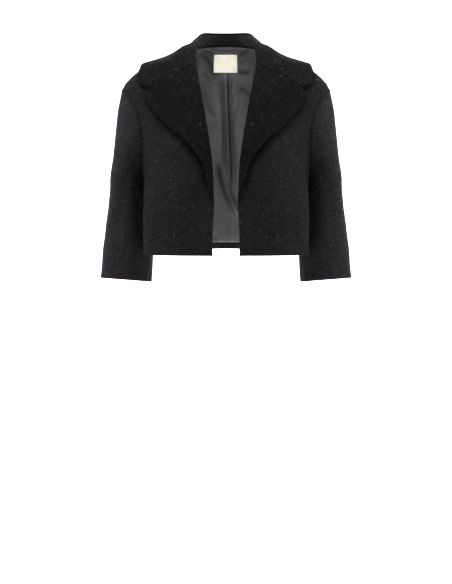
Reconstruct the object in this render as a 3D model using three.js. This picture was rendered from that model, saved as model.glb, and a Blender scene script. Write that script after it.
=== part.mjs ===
// A cropped, open-fronted spencer jacket with a wide notched collar and three-quarter sleeves,
// filled out as if worn, with nobody in it. Millimetres, +Z up, the wearer faces -Y and their left
// is +X. The origin lies midway between the two neck points of the shoulder seams, at their height.
// Every piece is a closed wall of cloth, and pieces stand seamGap apart where they are sewn.
import * as THREE from "three";

// Cloth sizes
const clothWall = 2.2;
const foldedWall = 2.4;
const liningWall = 1.0;
const labelWall = 0.8;
const seamGap = 0.3;
const layGap = 1.3; // clear space under a turned-over layer
const liningGap = 1.4; // clear space between the back and its lining

// Driving sizes
const hemFront = -435.6;
const hemSide = -429;
const hemBack = -415.5;
const armholeTop = -81;
const armpit = -258;
const armholeMidY = 8;
const armholeFront = 53; // reach of the armhole forward of its middle
const armholeBack = 54;
const armholePoint = 1.5; // how narrow the armhole is near its top: 1 is an ellipse
const neckBackHeight = 15;
const gorgeHeight = -44; // where the neck seam meets the roll line
const breakHeight = -319.5; // where the lapel ends on the front edge
const liningInset = 9; // from the lining's sides to the armhole and shoulder seams
const hemStrip = 13.5; // cloth that shows under the lining's lower edge
const rollRadius = 3.6;
const collarFullness = 8; // how far the collar arches off the shoulder beside the neck

// Horizontal sections of the filled-out body, hem to neck: half width, the y of the side, front and back,
// and how square the front and back halves are.
const bodySections = [
  { z: -445, half: 169, sideY: -38, front: -103, back: 92, frontPower: 2.6, backPower: 2.0 },
  { z: -350, half: 169.5, sideY: -32, front: -110, back: 95, frontPower: 2.5, backPower: 2.0 },
  { z: -300, half: 170.5, sideY: -22, front: -114, back: 97, frontPower: 2.4, backPower: 2.05 },
  { z: -258, half: 173, sideY: -12, front: -115, back: 99, frontPower: 2.3, backPower: 2.15 },
  { z: -200, half: 183, sideY: -3, front: -112, back: 102, frontPower: 2.2, backPower: 2.2 },
  { z: -150, half: 197, sideY: 4, front: -102, back: 103, frontPower: 2.1, backPower: 2.2 },
  { z: -110, half: 208, sideY: 7, front: -91, back: 101, frontPower: 2.05, backPower: 2.2 },
  { z: -81, half: 213.5, sideY: 8, front: -81, back: 98, frontPower: 2.0, backPower: 2.2 },
  { z: -66, half: 203, sideY: 8, front: -74, back: 96, frontPower: 2.0, backPower: 2.2 },
  { z: -49, half: 184, sideY: 8, front: -66, back: 93.5, frontPower: 2.0, backPower: 2.2 },
  { z: -39, half: 168, sideY: 8, front: -60, back: 92, frontPower: 2.0, backPower: 2.2 },
  { z: -20, half: 121, sideY: 8, front: -38, back: 88, frontPower: 2.0, backPower: 2.2 },
  { z: 0, half: 72, sideY: 8, front: -18, back: 83, frontPower: 2.0, backPower: 2.2 },
  { z: 16, half: 60, sideY: 10, front: -16, back: 79, frontPower: 2.0, backPower: 2.2 },
  { z: 50, half: 55, sideY: 12, front: -16, back: 72, frontPower: 2.0, backPower: 2.2 },
];
// The front edge below the lapel
const frontEdge = [
  { z: -436, x: 26.9 },
  { z: -400, x: 27.1 },
  { z: -361, x: 25.3 },
  { z: -338, x: 24.0 },
  { z: -323.5, x: 23.7 },
];
// The base of the lapel's roll line, which stands back from the front edge by the fold's own size
const rollLine = [
  { z: -319.5, x: 28.2 },
  { z: -283, x: 29.5 },
  { z: -242, x: 33.0 },
  { z: -222, x: 35.9 },
  { z: -169, x: 43.9 },
  { z: -121, x: 52.4 },
  { z: -76, x: 60.6 },
  { z: -44, x: 65.2 },
];
// The seam between collar and lapel, from the roll line out to the notch, then the lapel's point
const gorgeLine = [
  { x: 65.2, z: -44 },
  { x: 84, z: -54 },
  { x: 103, z: -61.5 },
  { x: 120, z: -68 },
  { x: 136, z: -77 },
  { x: 149, z: -90 },
];
const lapelPoint = { x: 165, z: -105.5 };
const lapelEdge = [
  { x: 165, z: -105.5 },
  { x: 148.5, z: -131 },
  { x: 127, z: -157.5 },
  { x: 103.8, z: -181 },
  { x: 79.5, z: -203 },
  { x: 64, z: -220.5 },
  { x: 50, z: -240 },
  { x: 42, z: -261 },
  { x: 35.6, z: -289 },
  { x: 31.6, z: -319.5 },
];
// The top of the collar's roll from the centre back to the gorge, with the way the cloth turns out there
const collarRoll = [
  { x: 0, y: 72, z: 42, outX: 0, outY: 1, outZ: 0 },
  { x: 26, y: 69.5, z: 42, outX: 0.3, outY: 0.95, outZ: 0 },
  { x: 45, y: 58, z: 40.5, outX: 0.75, outY: 0.65, outZ: 0 },
  { x: 53.5, y: 38, z: 34.5, outX: 0.97, outY: 0.2, outZ: 0 },
  { x: 56.5, y: 12, z: 22, outX: 1, outY: 0, outZ: 0.1 },
  { x: 59.5, y: -13, z: 8, outX: 0.95, outY: -0.2, outZ: 0.25 },
  { x: 61.5, y: -38, z: -13, outX: 0.65, outY: -0.6, outZ: 0.45 },
];
// The collar's outer edge, one row for each row of collarRoll, then for the gorge and its points
const collarEdge = [
  { x: 0, y: 104, z: -55 },
  { x: 62, y: 102, z: -54 },
  { x: 116, y: 93, z: -51 },
  { x: 152, y: 60, z: -43 },
  { x: 166, y: 18, z: -35 },
  { x: 173, y: -8, z: -37 },
  { x: 179, y: -22, z: -43 },
  { x: 184, y: -33, z: -50 },
  { x: 186.5, y: -38, z: -56 },
  { x: 187, y: -42, z: -61 },
  { x: 186, y: -45, z: -66 },
  { x: 184, y: -47, z: -71 },
  { x: 179.5, y: -50, z: -75.5 },
];
// Rings of the sleeve below the armhole: centre, half sizes across and front to back, the tilt of the ring
// up at its outer side, and how far its back is turned towards the body, in degrees
const sleeveRings = [
  { z: -278, x: 204.4, y: 24, across: 36.6, deep: 58, tilt: 8, yaw: 13 },
  { z: -305, x: 203, y: 30, across: 40.5, deep: 57.5, tilt: 7.5, yaw: 12 },
  { z: -332, x: 202.4, y: 34.5, across: 44.2, deep: 56.5, tilt: 7, yaw: 10 },
  { z: -372, x: 202.7, y: 39, across: 49.4, deep: 55, tilt: 6.5, yaw: 7 },
  { z: -410, x: 204.2, y: 42, across: 52, deep: 54, tilt: 6, yaw: 4 },
  { z: -448, x: 206.9, y: 43, across: 53.7, deep: 53, tilt: 5.5, yaw: 2 },
  { z: -482.5, x: 210.4, y: 42, across: 54.2, deep: 52, tilt: 4.5, yaw: 0 },
];
// How the sleeve head leaves the armhole, at its top, front, bottom and back
const sleeveHead = [
  { turn: 0, x: 0.74, y: 0, z: -0.67, reach: 44 },
  { turn: 90, x: 0.76, y: -0.3, z: -0.57, reach: 56 },
  { turn: 180, x: 0.35, y: 0.15, z: -0.92, reach: 22 },
  { turn: 270, x: 0.76, y: 0.3, z: -0.57, reach: 56 },
  { turn: 360, x: 0.74, y: 0, z: -0.67, reach: 44 },
];
// The lining's centre-back pleat, and the fold that swings across its foot
const pleat = { x: 3, slant: -0.035, top: -46, foot: -300, width: 9, depth: 5 };
const swag = { x: -9, z: -232, endX: 34, endZ: -352, width: 12, depth: 4 };
// The label's size, and its top edge
const label = { width: 51, height: 37.5, top: -2, middle: -1 };

const armholeSteps = 12;

const clamp01 = (t) => Math.min(1, Math.max(0, t));
const ease = (t) => clamp01(t) ** 2 * (3 - 2 * clamp01(t));
const mix = (a, b, t) => a + (b - a) * t;

// A smooth value of one column of a table, at a value of its ordering column.
function lookUp(table, order, at, column) {
  const rising = table[table.length - 1][order] > table[0][order];
  const rows = rising ? table : [...table].reverse();
  let i = 0;
  while (i < rows.length - 2 && at > rows[i + 1][order]) i += 1;
  const [a, b] = [rows[i], rows[i + 1]];
  const before = rows[i - 1] ?? a;
  const after = rows[i + 2] ?? b;
  const span = b[order] - a[order];
  const slopeA = (b[column] - before[column]) / (b[order] - before[order]);
  const slopeB = (after[column] - a[column]) / (after[order] - a[order]);
  const t = clamp01((at - a[order]) / span);
  return (
    (2 * t ** 3 - 3 * t ** 2 + 1) * a[column] +
    (t ** 3 - 2 * t ** 2 + t) * span * slopeA +
    (3 * t ** 2 - 2 * t ** 3) * b[column] +
    (t ** 3 - t ** 2) * span * slopeB
  );
}

// A table's rows as points on a smooth curve, at a share of its length from 0 to 1.
function curveThrough(rows) {
  return new THREE.CatmullRomCurve3(
    rows.map((row) => new THREE.Vector3(row.x, row.y ?? 0, row.z)),
    false,
    "centripetal",
  );
}

function bodySection(z) {
  const section = {};
  for (const column of ["half", "sideY", "front", "back", "frontPower", "backPower"])
    section[column] = lookUp(bodySections, "z", z, column);
  return section;
}

// A point on the body at a height and a turn: 90 is the front, 0 the side and -90 the back, in radians.
function bodyPoint(z, turn) {
  const s = bodySection(z);
  const sine = Math.sin(turn);
  const power = sine >= 0 ? s.frontPower : s.backPower;
  const reach = sine >= 0 ? s.front - s.sideY : s.back - s.sideY;
  const x = s.half * Math.abs(Math.cos(turn)) ** (2 / power);
  return new THREE.Vector3(x, s.sideY + reach * Math.abs(sine) ** (2 / power), z);
}

function turnAtX(z, x) {
  const s = bodySection(z);
  return Math.acos(clamp01(x / s.half) ** (s.frontPower / 2));
}

function turnAtY(z, y) {
  const s = bodySection(z);
  if (y < s.sideY) return Math.asin(clamp01((s.sideY - y) / (s.sideY - s.front)) ** (s.frontPower / 2));
  return -Math.asin(clamp01((y - s.sideY) / (s.back - s.sideY)) ** (s.backPower / 2));
}

// How far outside the body a point lies, as a share of the section's size.
function outsideBody(p) {
  const s = bodySection(p.z);
  const front = p.y < s.sideY;
  const power = front ? s.frontPower : s.backPower;
  const reach = front ? s.sideY - s.front : s.back - s.sideY;
  const sum = (Math.abs(p.x) / s.half) ** power + (Math.abs(p.y - s.sideY) / reach) ** power;
  return sum ** (1 / power) - 1;
}

// The body's outward direction and the distance to it, near a point.
function bodyNear(p) {
  const step = 0.5;
  const at = (dx, dy, dz) => outsideBody(new THREE.Vector3(p.x + dx, p.y + dy, p.z + dz));
  const slope = new THREE.Vector3(
    at(step, 0, 0) - at(-step, 0, 0),
    at(0, step, 0) - at(0, -step, 0),
    at(0, 0, step) - at(0, 0, -step),
  ).divideScalar(2 * step);
  return { out: slope.clone().normalize(), distance: outsideBody(p) / slope.length() };
}

// Moves a point to a height above the body, all the way or in part.
function layOnBody(p, height, share) {
  for (let i = 0; i < 4; i += 1) {
    const near = bodyNear(p);
    p.addScaledVector(near.out, (height - near.distance) * share);
  }
  return p;
}

// Points along a polyline, evenly spaced.
function evenly(points, count) {
  const lengths = [0];
  for (let i = 1; i < points.length; i += 1)
    lengths.push(lengths[i - 1] + points[i].distanceTo(points[i - 1]));
  const total = lengths[lengths.length - 1];
  const out = [];
  let i = 1;
  for (let k = 0; k <= count; k += 1) {
    const at = (total * k) / count;
    while (i < points.length - 1 && lengths[i] < at) i += 1;
    const t = (at - lengths[i - 1]) / (lengths[i] - lengths[i - 1]);
    out.push(points[i - 1].clone().lerp(points[i], clamp01(t)));
  }
  return out;
}

// Draws a grid's sides in by half the seam gap, square to each side, so that its neighbours stay clear.
function easeSeams(grid, sides) {
  const rows = grid.length;
  const columns = grid[0].length;
  const pull = (p, before, after, towards) => {
    const along = after.clone().sub(before).normalize();
    const way = towards.clone().sub(p);
    way.addScaledVector(along, -way.dot(along)).normalize();
    return way.multiplyScalar(seamGap / 2 + 0.1);
  };
  const moves = grid.map((row) => row.map(() => new THREE.Vector3()));
  for (let j = 0; j < columns; j += 1) {
    const [a, b] = [Math.max(0, j - 1), Math.min(columns - 1, j + 1)];
    const [top, bottom] = [grid[0], grid[rows - 1]];
    if (sides.first) moves[0][j].add(pull(top[j], top[a], top[b], grid[1][j]));
    if (sides.last) moves[rows - 1][j].add(pull(bottom[j], bottom[a], bottom[b], grid[rows - 2][j]));
  }
  for (let i = 0; i < rows; i += 1) {
    const [a, b] = [Math.max(0, i - 1), Math.min(rows - 1, i + 1)];
    const end = columns - 1;
    if (sides.start) moves[i][0].add(pull(grid[i][0], grid[a][0], grid[b][0], grid[i][1]));
    if (sides.end) moves[i][end].add(pull(grid[i][end], grid[a][end], grid[b][end], grid[i][end - 1]));
  }
  return grid.map((row, i) => row.map((p, j) => p.clone().add(moves[i][j])));
}

// The directions square to a grid, from its neighbouring points.
function gridNormals(grid, closed, used) {
  const rows = grid.length;
  const columns = grid[0].length;
  return grid.map((row, i) =>
    row.map((p, j) => {
      const left = closed ? (j + columns - 1) % columns : j > 0 && used(i, j - 1) ? j - 1 : j;
      const right = closed ? (j + 1) % columns : j < columns - 1 && used(i, j + 1) ? j + 1 : j;
      const up = i > 0 && used(i - 1, j) ? i - 1 : i;
      const down = i < rows - 1 && used(i + 1, j) ? i + 1 : i;
      const along = grid[i][right].clone().sub(grid[i][left]);
      const across = grid[down][j].clone().sub(grid[up][j]);
      return along.cross(across).normalize();
    }),
  );
}

const bodyNormal = (i, j, p) => bodyNear(p).out;

// A closed wall of cloth about a grid of points: outward and inward are its thickness on each side.
function wallOf(grid, outward, inward, options = {}) {
  const { closed = false, used = () => true, mirror = false, setNormal = () => null } = options;
  const rows = grid.length;
  const columns = grid[0].length;
  const normals = gridNormals(grid, closed, used).map((row, i) =>
    row.map((found, j) => {
      const given = setNormal(i, j, grid[i][j]);
      if (!given) return found;
      return given.clone().multiplyScalar(given.dot(found) < 0 ? -1 : 1);
    }),
  );
  const position = [];
  const index = [];
  for (const offset of [outward, -inward])
    grid.forEach((row, i) =>
      row.forEach((p, j) => {
        const q = p.clone().addScaledVector(normals[i][j], offset);
        position.push(mirror ? -q.x : q.x, q.y, q.z);
      }),
    );
  const outer = (i, j) => i * columns + (closed ? (j + columns) % columns : j);
  const inner = (i, j) => rows * columns + outer(i, j);
  const face = (a, b, c, d) => {
    if (mirror) index.push(a, c, b, a, d, c);
    else index.push(a, b, c, a, c, d);
  };
  const lastColumn = closed ? columns : columns - 1;
  const cell = (i, j) => {
    if (i < 0 || i >= rows - 1) return false;
    if (!closed && (j < 0 || j >= lastColumn)) return false;
    const next = closed ? (j + 1) % columns : j + 1;
    return used(i, j) && used(i, next) && used(i + 1, j) && used(i + 1, next);
  };
  for (let i = 0; i < rows - 1; i += 1)
    for (let j = 0; j < lastColumn; j += 1) {
      if (!cell(i, j)) continue;
      face(outer(i, j), outer(i, j + 1), outer(i + 1, j + 1), outer(i + 1, j));
      face(inner(i, j), inner(i + 1, j), inner(i + 1, j + 1), inner(i, j + 1));
      if (!cell(i - 1, j)) face(outer(i, j), inner(i, j), inner(i, j + 1), outer(i, j + 1));
      if (!cell(i + 1, j))
        face(outer(i + 1, j + 1), inner(i + 1, j + 1), inner(i + 1, j), outer(i + 1, j));
      if (!closed && !cell(i, j - 1)) face(outer(i + 1, j), inner(i + 1, j), inner(i, j), outer(i, j));
      if (!closed && !cell(i, j + 1))
        face(outer(i, j + 1), inner(i, j + 1), inner(i + 1, j + 1), outer(i + 1, j + 1));
    }
  const usedVertices = new Map();
  const packed = [];
  const renumbered = index.map((v) => {
    if (!usedVertices.has(v)) {
      usedVertices.set(v, usedVertices.size);
      packed.push(position[3 * v], position[3 * v + 1], position[3 * v + 2]);
    }
    return usedVertices.get(v);
  });
  const geometry = new THREE.BufferGeometry();
  geometry.setAttribute("position", new THREE.Float32BufferAttribute(packed, 3));
  geometry.setIndex(renumbered);
  geometry.computeVertexNormals();
  return geometry;
}

// The armhole as a height and depth for a share round it: 0 is the top, 0.5 the armpit, then up the back.
function armholeAt(share) {
  const turn = share * 2 * Math.PI;
  const middle = (armholeTop + armpit) / 2;
  const z = middle + ((armholeTop - armpit) / 2) * Math.cos(turn);
  const reach = share <= 0.5 ? armholeFront : -armholeBack;
  return { z, y: armholeMidY - reach * Math.abs(Math.sin(turn)) ** (z > middle ? armholePoint : 1) };
}

function sideSeamY(z) {
  return mix(4, armholeMidY, ease((z - hemSide) / (armpit - hemSide)));
}

// The panel's outer line, hem to neck point: side seam, armhole and shoulder seam.
function outerLine(half) {
  const line = [];
  for (const share of [0, 0.18, 0.36, 0.53, 0.69, 0.85]) {
    const z = mix(hemSide, armpit, share);
    line.push({ z, y: sideSeamY(z) });
  }
  for (let k = 0; k <= armholeSteps; k += 1) {
    const share = 0.5 - (0.5 * k) / armholeSteps;
    line.push(armholeAt(half === "front" ? share : 1 - share));
  }
  for (const z of [-73, -64, -53, -40, -27, -13, 0]) line.push({ z, y: armholeMidY });
  return line;
}

// A path over the body from an inner height and turn to an outer height and depth. straight, from 0 to 1,
// is how far it runs straight as seen from the front instead of turning evenly; a lag above 1 keeps it
// level where it starts.
function bodyPath(z0, turn0, outer, straight, lag = 1) {
  const turn1 = turnAtY(outer.z, outer.y);
  const x0 = bodyPoint(z0, turn0).x;
  const x1 = bodyPoint(outer.z, turn1).x;
  const path = [];
  for (let k = 0; k <= 60; k += 1) {
    const t = 1 - (1 - k / 60) ** 2;
    const z = mix(z0, outer.z, t ** lag);
    const even = mix(turn0, turn1, t);
    path.push(bodyPoint(z, straight > 0 ? mix(even, turnAtX(z, mix(x0, x1, t)), straight) : even));
  }
  return path;
}

const armpitRow = 6;
const tipRow = armpitRow + armholeSteps;

function heightsBetween(bottom, atArmpit, atTip, top) {
  return (i, last) => {
    if (i <= armpitRow) return mix(bottom, atArmpit, i / armpitRow);
    if (i <= tipRow) return mix(atArmpit, atTip, (i - armpitRow) / armholeSteps);
    return mix(atTip, top, (i - tipRow) / (last - tipRow));
  };
}

const panelColumns = 11;
const frontLag = 1.6; // above 1, a panel's rows start level and bend towards their outer ends
const backLag = 1.8;
const frontLine = outerLine("front");
const backLine = outerLine("back");
const lastRow = frontLine.length - 1;
const frontAboveArmpit = heightsBetween(hemFront, armpit, -60, gorgeHeight);
const frontBelowArmpit = [hemFront, -398, -361, -323.5, breakHeight, -289];
const frontHeights = (i, last) => frontBelowArmpit[i] ?? frontAboveArmpit(i, last);
const backHeights = heightsBetween(hemBack, -245, -45, neckBackHeight);
const frontGrid = frontLine.map((outer, i) => {
  const z = frontHeights(i, lastRow);
  const turn = turnAtX(z, lookUp(z < breakHeight ? frontEdge : rollLine, "z", z, "x"));
  const straight = ease((i - armpitRow) / armholeSteps);
  return evenly(bodyPath(z, turn, outer, straight, frontLag), panelColumns);
});
const backHalf = backLine.map((outer, i) =>
  evenly(bodyPath(backHeights(i, lastRow), -Math.PI / 2, outer, 0, backLag), panelColumns),
);

const mirrorRow = (row) => row.map((p) => new THREE.Vector3(-p.x, p.y, p.z));
const bothSides = (half) => [...half.slice(1).reverse().map(mirrorRow), ...half];
const reversed = (grid) => grid.map((row) => [...row].reverse());

// Joins a half grid, whose first column is the centre back, to its mirror image.
function mirrored(halfGrid) {
  return halfGrid.map((row) => {
    return [...mirrorRow(row.slice(1)).reverse(), ...row];
  });
}

// The lapel: its roll at the front edge, then a layer that lies on the front
const rollPoints = 5;
function foldPath(base, out, across, radius) {
  const centre = base.clone().addScaledVector(out, radius);
  const path = [];
  for (let k = 0; k <= rollPoints; k += 1) {
    const turn = (Math.PI * k) / rollPoints;
    const p = centre.clone();
    p.addScaledVector(out, -radius * Math.cos(turn));
    path.push(p.addScaledVector(across, -radius * Math.sin(turn)));
  }
  return path;
}

const flatHeight = layGap + foldedWall / 2;
function layHeight(distance, radius, share) {
  const start = 2 * radius - clothWall / 2;
  const edgeLift = 2.6 * clamp01(share) ** 3;
  return flatHeight + Math.max(0, start - flatHeight) * Math.exp(-distance / 16) + edgeLift;
}

function lapelGrid() {
  const rows = 13;
  const columns = 8;
  const edge = curveThrough(lapelEdge);
  const gorge = curveThrough(gorgeLine);
  const topPoint = (j) =>
    j < columns ? gorge.getPointAt(j / (columns - 1)) : new THREE.Vector3(lapelPoint.x, 0, lapelPoint.z);
  const grid = [];
  for (let i = 0; i <= rows; i += 1) {
    const v = i / rows;
    const z = mix(gorgeHeight, breakHeight, v);
    const roll = new THREE.Vector3(lookUp(rollLine, "z", z, "x"), 0, z);
    const end = edge.getPointAt(v);
    const radius = mix(rollRadius, 1.9, ease((v - 0.55) / 0.45));
    const surface = bodyPoint(z, turnAtX(z, roll.x));
    const out = bodyNear(surface).out;
    const base = surface.clone().addScaledVector(out, -clothWall / 2);
    base.x -= seamGap + 0.7;
    const row = foldPath(base, out, new THREE.Vector3(1, 0, 0), radius);
    for (let j = 1; j <= columns; j += 1) {
      const u = j / columns;
      const p = roll.clone().lerp(end, u);
      const chord = topPoint(0).lerp(topPoint(columns), u);
      p.addScaledVector(topPoint(j).sub(chord), (1 - v) ** 2.5);
      const on = bodyPoint(p.z, turnAtX(p.z, p.x));
      row.push(layOnBody(on, layHeight(Math.abs(p.x - roll.x), radius, u), 1));
    }
    grid.push(row);
  }
  return grid;
}
const lapel = lapelGrid();
// The directions square to the gorge seam, which the lapel and the collar share
const gorgeNormals = gorgeDirections(lapel[0]);
function gorgeDirections(row) {
  const centre = row[0].clone().lerp(row[rollPoints], 0.5);
  return row.map((p, k) => {
    const out = bodyNear(p).out;
    if (k > rollPoints) return out;
    return p.clone().sub(centre).normalize();
  });
}

// The collar: its roll round the neck and the layer that falls from it, then the part past the gorge
const leafPoints = 9;
const gorgeColumn = 11;
const standRows = 2;
const standColumns = 9;
const rollCurve = curveThrough([...collarRoll, { x: 61.6, y: -61, z: gorgeHeight }]);
const outwardCurve = curveThrough([
  ...collarRoll.map((row) => ({ x: row.outX, y: row.outY, z: row.outZ })),
  { x: 0.3, y: -0.85, z: 0.45 },
]);
const edgeRows = collarEdge.length;
const rowsToGorge = collarRoll.length;
const edgeCurve = curveThrough(collarEdge);

const neckLine = [...backHalf[lastRow], ...[...frontGrid[lastRow]].reverse().slice(1)];
const neckSeam = evenly(neckLine, 10 * gorgeColumn);

// The collar's roll at a share of the way from the centre back to the gorge: its centre, the way out and
// up from it, the neck seam below, where the stand meets it, and the directions along and square to that.
function rollFrame(share) {
  const crest = rollCurve.getPoint(share);
  const run = rollCurve.getTangent(share);
  const out = outwardCurve.getPoint(share);
  out.addScaledVector(run, -out.dot(run)).normalize();
  const rise = run.clone().cross(out).normalize();
  const centre = crest.clone().addScaledVector(rise, -(rollRadius + foldedWall / 2));
  const start = centre.clone().addScaledVector(out, -rollRadius);
  const seam = neckSeam[Math.round(share * 10 * gorgeColumn)];
  const foot = seam.clone().addScaledVector(bodyNear(seam).out, -clothWall / 2);
  const climb = start.clone().sub(foot).normalize();
  const along = climb.clone().add(rise).normalize();
  const square = out.clone().addScaledVector(along, -out.dot(along)).normalize();
  return { centre, out, rise, foot, start, along: climb, square };
}

function collarGrid() {
  const grid = [];
  const gorge = lapel[0];
  for (let i = 0; i <= gorgeColumn; i += 1) {
    const share = i / gorgeColumn;
    const { centre, out, rise } = rollFrame(share);
    const row = [];
    for (let k = 0; k <= rollPoints; k += 1) {
      const turn = Math.PI * (1 - k / rollPoints);
      const p = centre.clone().addScaledVector(out, rollRadius * Math.cos(turn));
      row.push(p.addScaledVector(rise, rollRadius * Math.sin(turn)));
    }
    if (i === gorgeColumn) for (let k = 0; k <= rollPoints; k += 1) row[k] = gorge[k].clone();
    const start = row[rollPoints];
    const end = edgeCurve.getPoint((share * rowsToGorge) / (edgeRows - 1));
    layOnBody(end, flatHeight + 2.6, 1);
    row.push(...fallTo(start, end, rise, share));
    grid.push(row);
  }
  const steps = gorge.length - 1 - rollPoints;
  for (let j = 1; j < steps; j += 1) {
    const start = gorge[rollPoints + j].clone();
    const t = rowsToGorge + ((edgeRows - 1 - rowsToGorge) * j) / (steps - 1);
    const end = edgeCurve.getPoint(t / (edgeRows - 1));
    layOnBody(end, flatHeight + 2.6, 1);
    const row = [];
    for (let k = 0; k <= rollPoints; k += 1) row.push(start.clone());
    for (let k = 1; k <= leafPoints; k += 1) {
      const u = k / leafPoints;
      const p = start.clone().lerp(end, u);
      row.push(layOnBody(p, mix(bodyNear(start).distance, flatHeight + 2.6 * u ** 3, ease(3 * u)), 1));
    }
    grid.push(row);
  }
  return grid;
}

// The fall from the roll's outer side to the collar's edge, over the shoulder or the back.
function fallTo(start, end, rise, share) {
  const span = start.distanceTo(end);
  const away = end.clone().sub(start).normalize();
  const first = rise.clone().multiplyScalar(-0.35).add(away.clone().multiplyScalar(0.65)).normalize();
  const points = [];
  for (let k = 1; k <= leafPoints; k += 1) {
    const u = k / leafPoints;
    const bend = start.clone().addScaledVector(first, span * 0.35);
    const p = start.clone().multiplyScalar((1 - u) ** 2);
    p.addScaledVector(bend, 2 * u * (1 - u)).addScaledVector(end, u * u);
    const height = layHeight(span * u, rollRadius + 2.5 * (1 - share), u);
    layOnBody(p, height, ease((u - 0.02) / 0.5));
    const full = collarFullness * ease(share / 0.4) * ease((1 - share) / 0.3);
    points.push(p.addScaledVector(bodyNear(p).out, full * Math.exp(-(((span * u - 32) / 25) ** 2))));
  }
  return points;
}

const collarHalf = collarGrid();
const collarColumns = collarHalf.length - 1;

// Draws the collar back from the gorge, so that the lapel's upper edge stays clear of it.
function easeGorge(half) {
  const step = seamGap / 2 + 0.1;
  const out = half.map((row) => row.map((p) => p.clone()));
  const away = (i, k, ti, tk) => {
    const way = half[ti][tk].clone().sub(half[i][k]).normalize();
    out[i][k].addScaledVector(way, step);
  };
  for (let k = 0; k <= rollPoints; k += 1) away(gorgeColumn, k, gorgeColumn - 1, k);
  for (let i = gorgeColumn + 1; i < half.length; i += 1) away(i, rollPoints, i, rollPoints + 1);
  return out;
}

// The stand: from the neck seam up to the start of the roll
function standHalf() {
  const grid = [];
  for (let i = 0; i <= standColumns; i += 1) {
    const { foot, start, along } = rollFrame(i / gorgeColumn);
    const base = foot.addScaledVector(along, seamGap + 0.9);
    const top = start.addScaledVector(along, -(seamGap + 0.4));
    const row = [];
    for (let k = 0; k <= standRows; k += 1) row.push(base.clone().lerp(top, k / standRows));
    grid.push(row);
  }
  return grid;
}

// The sleeve: its head from the armhole, then rings down to the cuff
function sleeveRingPoint(ring, share) {
  const turn = share * 2 * Math.PI;
  const tilt = THREE.MathUtils.degToRad(ring.tilt);
  const yaw = THREE.MathUtils.degToRad(ring.yaw);
  const across = ring.across * Math.cos(turn);
  const forward = ring.deep * Math.sin(turn);
  const x = across * Math.cos(yaw) + forward * Math.sin(yaw);
  const y = across * Math.sin(yaw) - forward * Math.cos(yaw);
  return new THREE.Vector3(ring.x + x * Math.cos(tilt), ring.y + y, ring.z + x * Math.sin(tilt));
}

function sleeveGrid() {
  const around = 2 * armholeSteps;
  const headSteps = 7;
  const grid = [];
  for (let i = 0; i <= headSteps; i += 1) {
    const row = [];
    for (let k = 0; k < around; k += 1) {
      const share = k / around;
      const { z, y } = armholeAt(share);
      const a = bodyPoint(z, turnAtY(z, y));
      const b = sleeveRingPoint(sleeveRings[0], share);
      const reach = lookUp(sleeveHead, "turn", share * 360, "reach");
      const leave = new THREE.Vector3(
        lookUp(sleeveHead, "turn", share * 360, "x"),
        lookUp(sleeveHead, "turn", share * 360, "y"),
        lookUp(sleeveHead, "turn", share * 360, "z"),
      ).normalize();
      if (i === 0) {
        row.push(a.addScaledVector(leave, seamGap / 2 + 0.32));
        continue;
      }
      const down = new THREE.Vector3(0.1, 0.05, -1).multiplyScalar(a.distanceTo(b) * 0.8);
      const t = (i / headSteps) ** 1.25;
      const p = a.multiplyScalar(2 * t ** 3 - 3 * t ** 2 + 1);
      p.addScaledVector(leave, reach * (t ** 3 - 2 * t ** 2 + t));
      p.addScaledVector(b, 3 * t ** 2 - 2 * t ** 3);
      row.push(p.addScaledVector(down, t ** 3 - t ** 2));
    }
    grid.push(row);
  }
  for (const ring of sleeveRings.slice(1)) {
    const row = [];
    for (let k = 0; k < around; k += 1) row.push(sleeveRingPoint(ring, k / around));
    grid.push(row);
  }
  return grid;
}

// How far the lining stands off the back towards the front, for its pleat and its fold.
function liningRelief(p) {
  const middle = pleat.x + pleat.slant * (p.z - pleat.top);
  const inPleat = ease((pleat.top - p.z) / 30) * ease((p.z - pleat.foot) / 40);
  const ridge = Math.exp(-(((p.x - middle) / pleat.width) ** 2)) * pleat.depth * inPleat;
  const share = clamp01((swag.z - p.z) / (swag.z - swag.endZ));
  const onSwag = mix(swag.x, swag.endX, share ** 2);
  const ends = ease((swag.z - p.z) / 30) * ease((p.z - swag.endZ) / 25);
  const shoulder = 3.5 * ease((Math.abs(p.x) - 150) / 50) * ease((p.z + 180) / 60);
  return ridge + shoulder + Math.exp(-(((p.x - onSwag) / swag.width) ** 2)) * swag.depth * ends;
}

function liningGrid() {
  const half = backLine.map((outer, i) => {
    const rise = hemStrip * Math.max(0, 1 - i / armpitRow);
    const drop = i === lastRow ? 2 : 0;
    const z0 = backHeights(i, lastRow) + rise - drop;
    const end = { z: outer.z + rise - drop, y: outer.y };
    const path = bodyPath(z0, -Math.PI / 2, end, 0, backLag);
    const length = path.reduce((sum, p, k) => (k ? sum + p.distanceTo(path[k - 1]) : 0), 0);
    const fine = evenly(path, 200).slice(0, Math.round(200 * (1 - liningInset / length)) + 1);
    return evenly(fine, 12);
  });
  return mirrored(half).map((row) =>
    row.map((p) => {
      const inward = bodyNear(p).out.negate();
      return p.addScaledVector(inward, clothWall + liningGap + liningWall / 2 + liningRelief(p));
    }),
  );
}

function labelGrid() {
  const grid = [];
  for (let i = 0; i <= 3; i += 1) {
    const row = [];
    for (let j = 0; j <= 6; j += 1) {
      const z = label.top - (label.height * i) / 3;
      const x = label.middle + label.width * (j / 6 - 0.5);
      const s = bodySection(z);
      const reach = (1 - (Math.abs(x) / s.half) ** s.backPower) ** (1 / s.backPower);
      const p = new THREE.Vector3(x, mix(s.sideY, s.back, reach), z);
      const deep = clothWall + liningGap + liningWall + seamGap + 0.4 + labelWall / 2;
      row.push(p.addScaledVector(bodyNear(p).out, -deep));
    }
    grid.push(row);
  }
  return grid;
}

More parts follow.
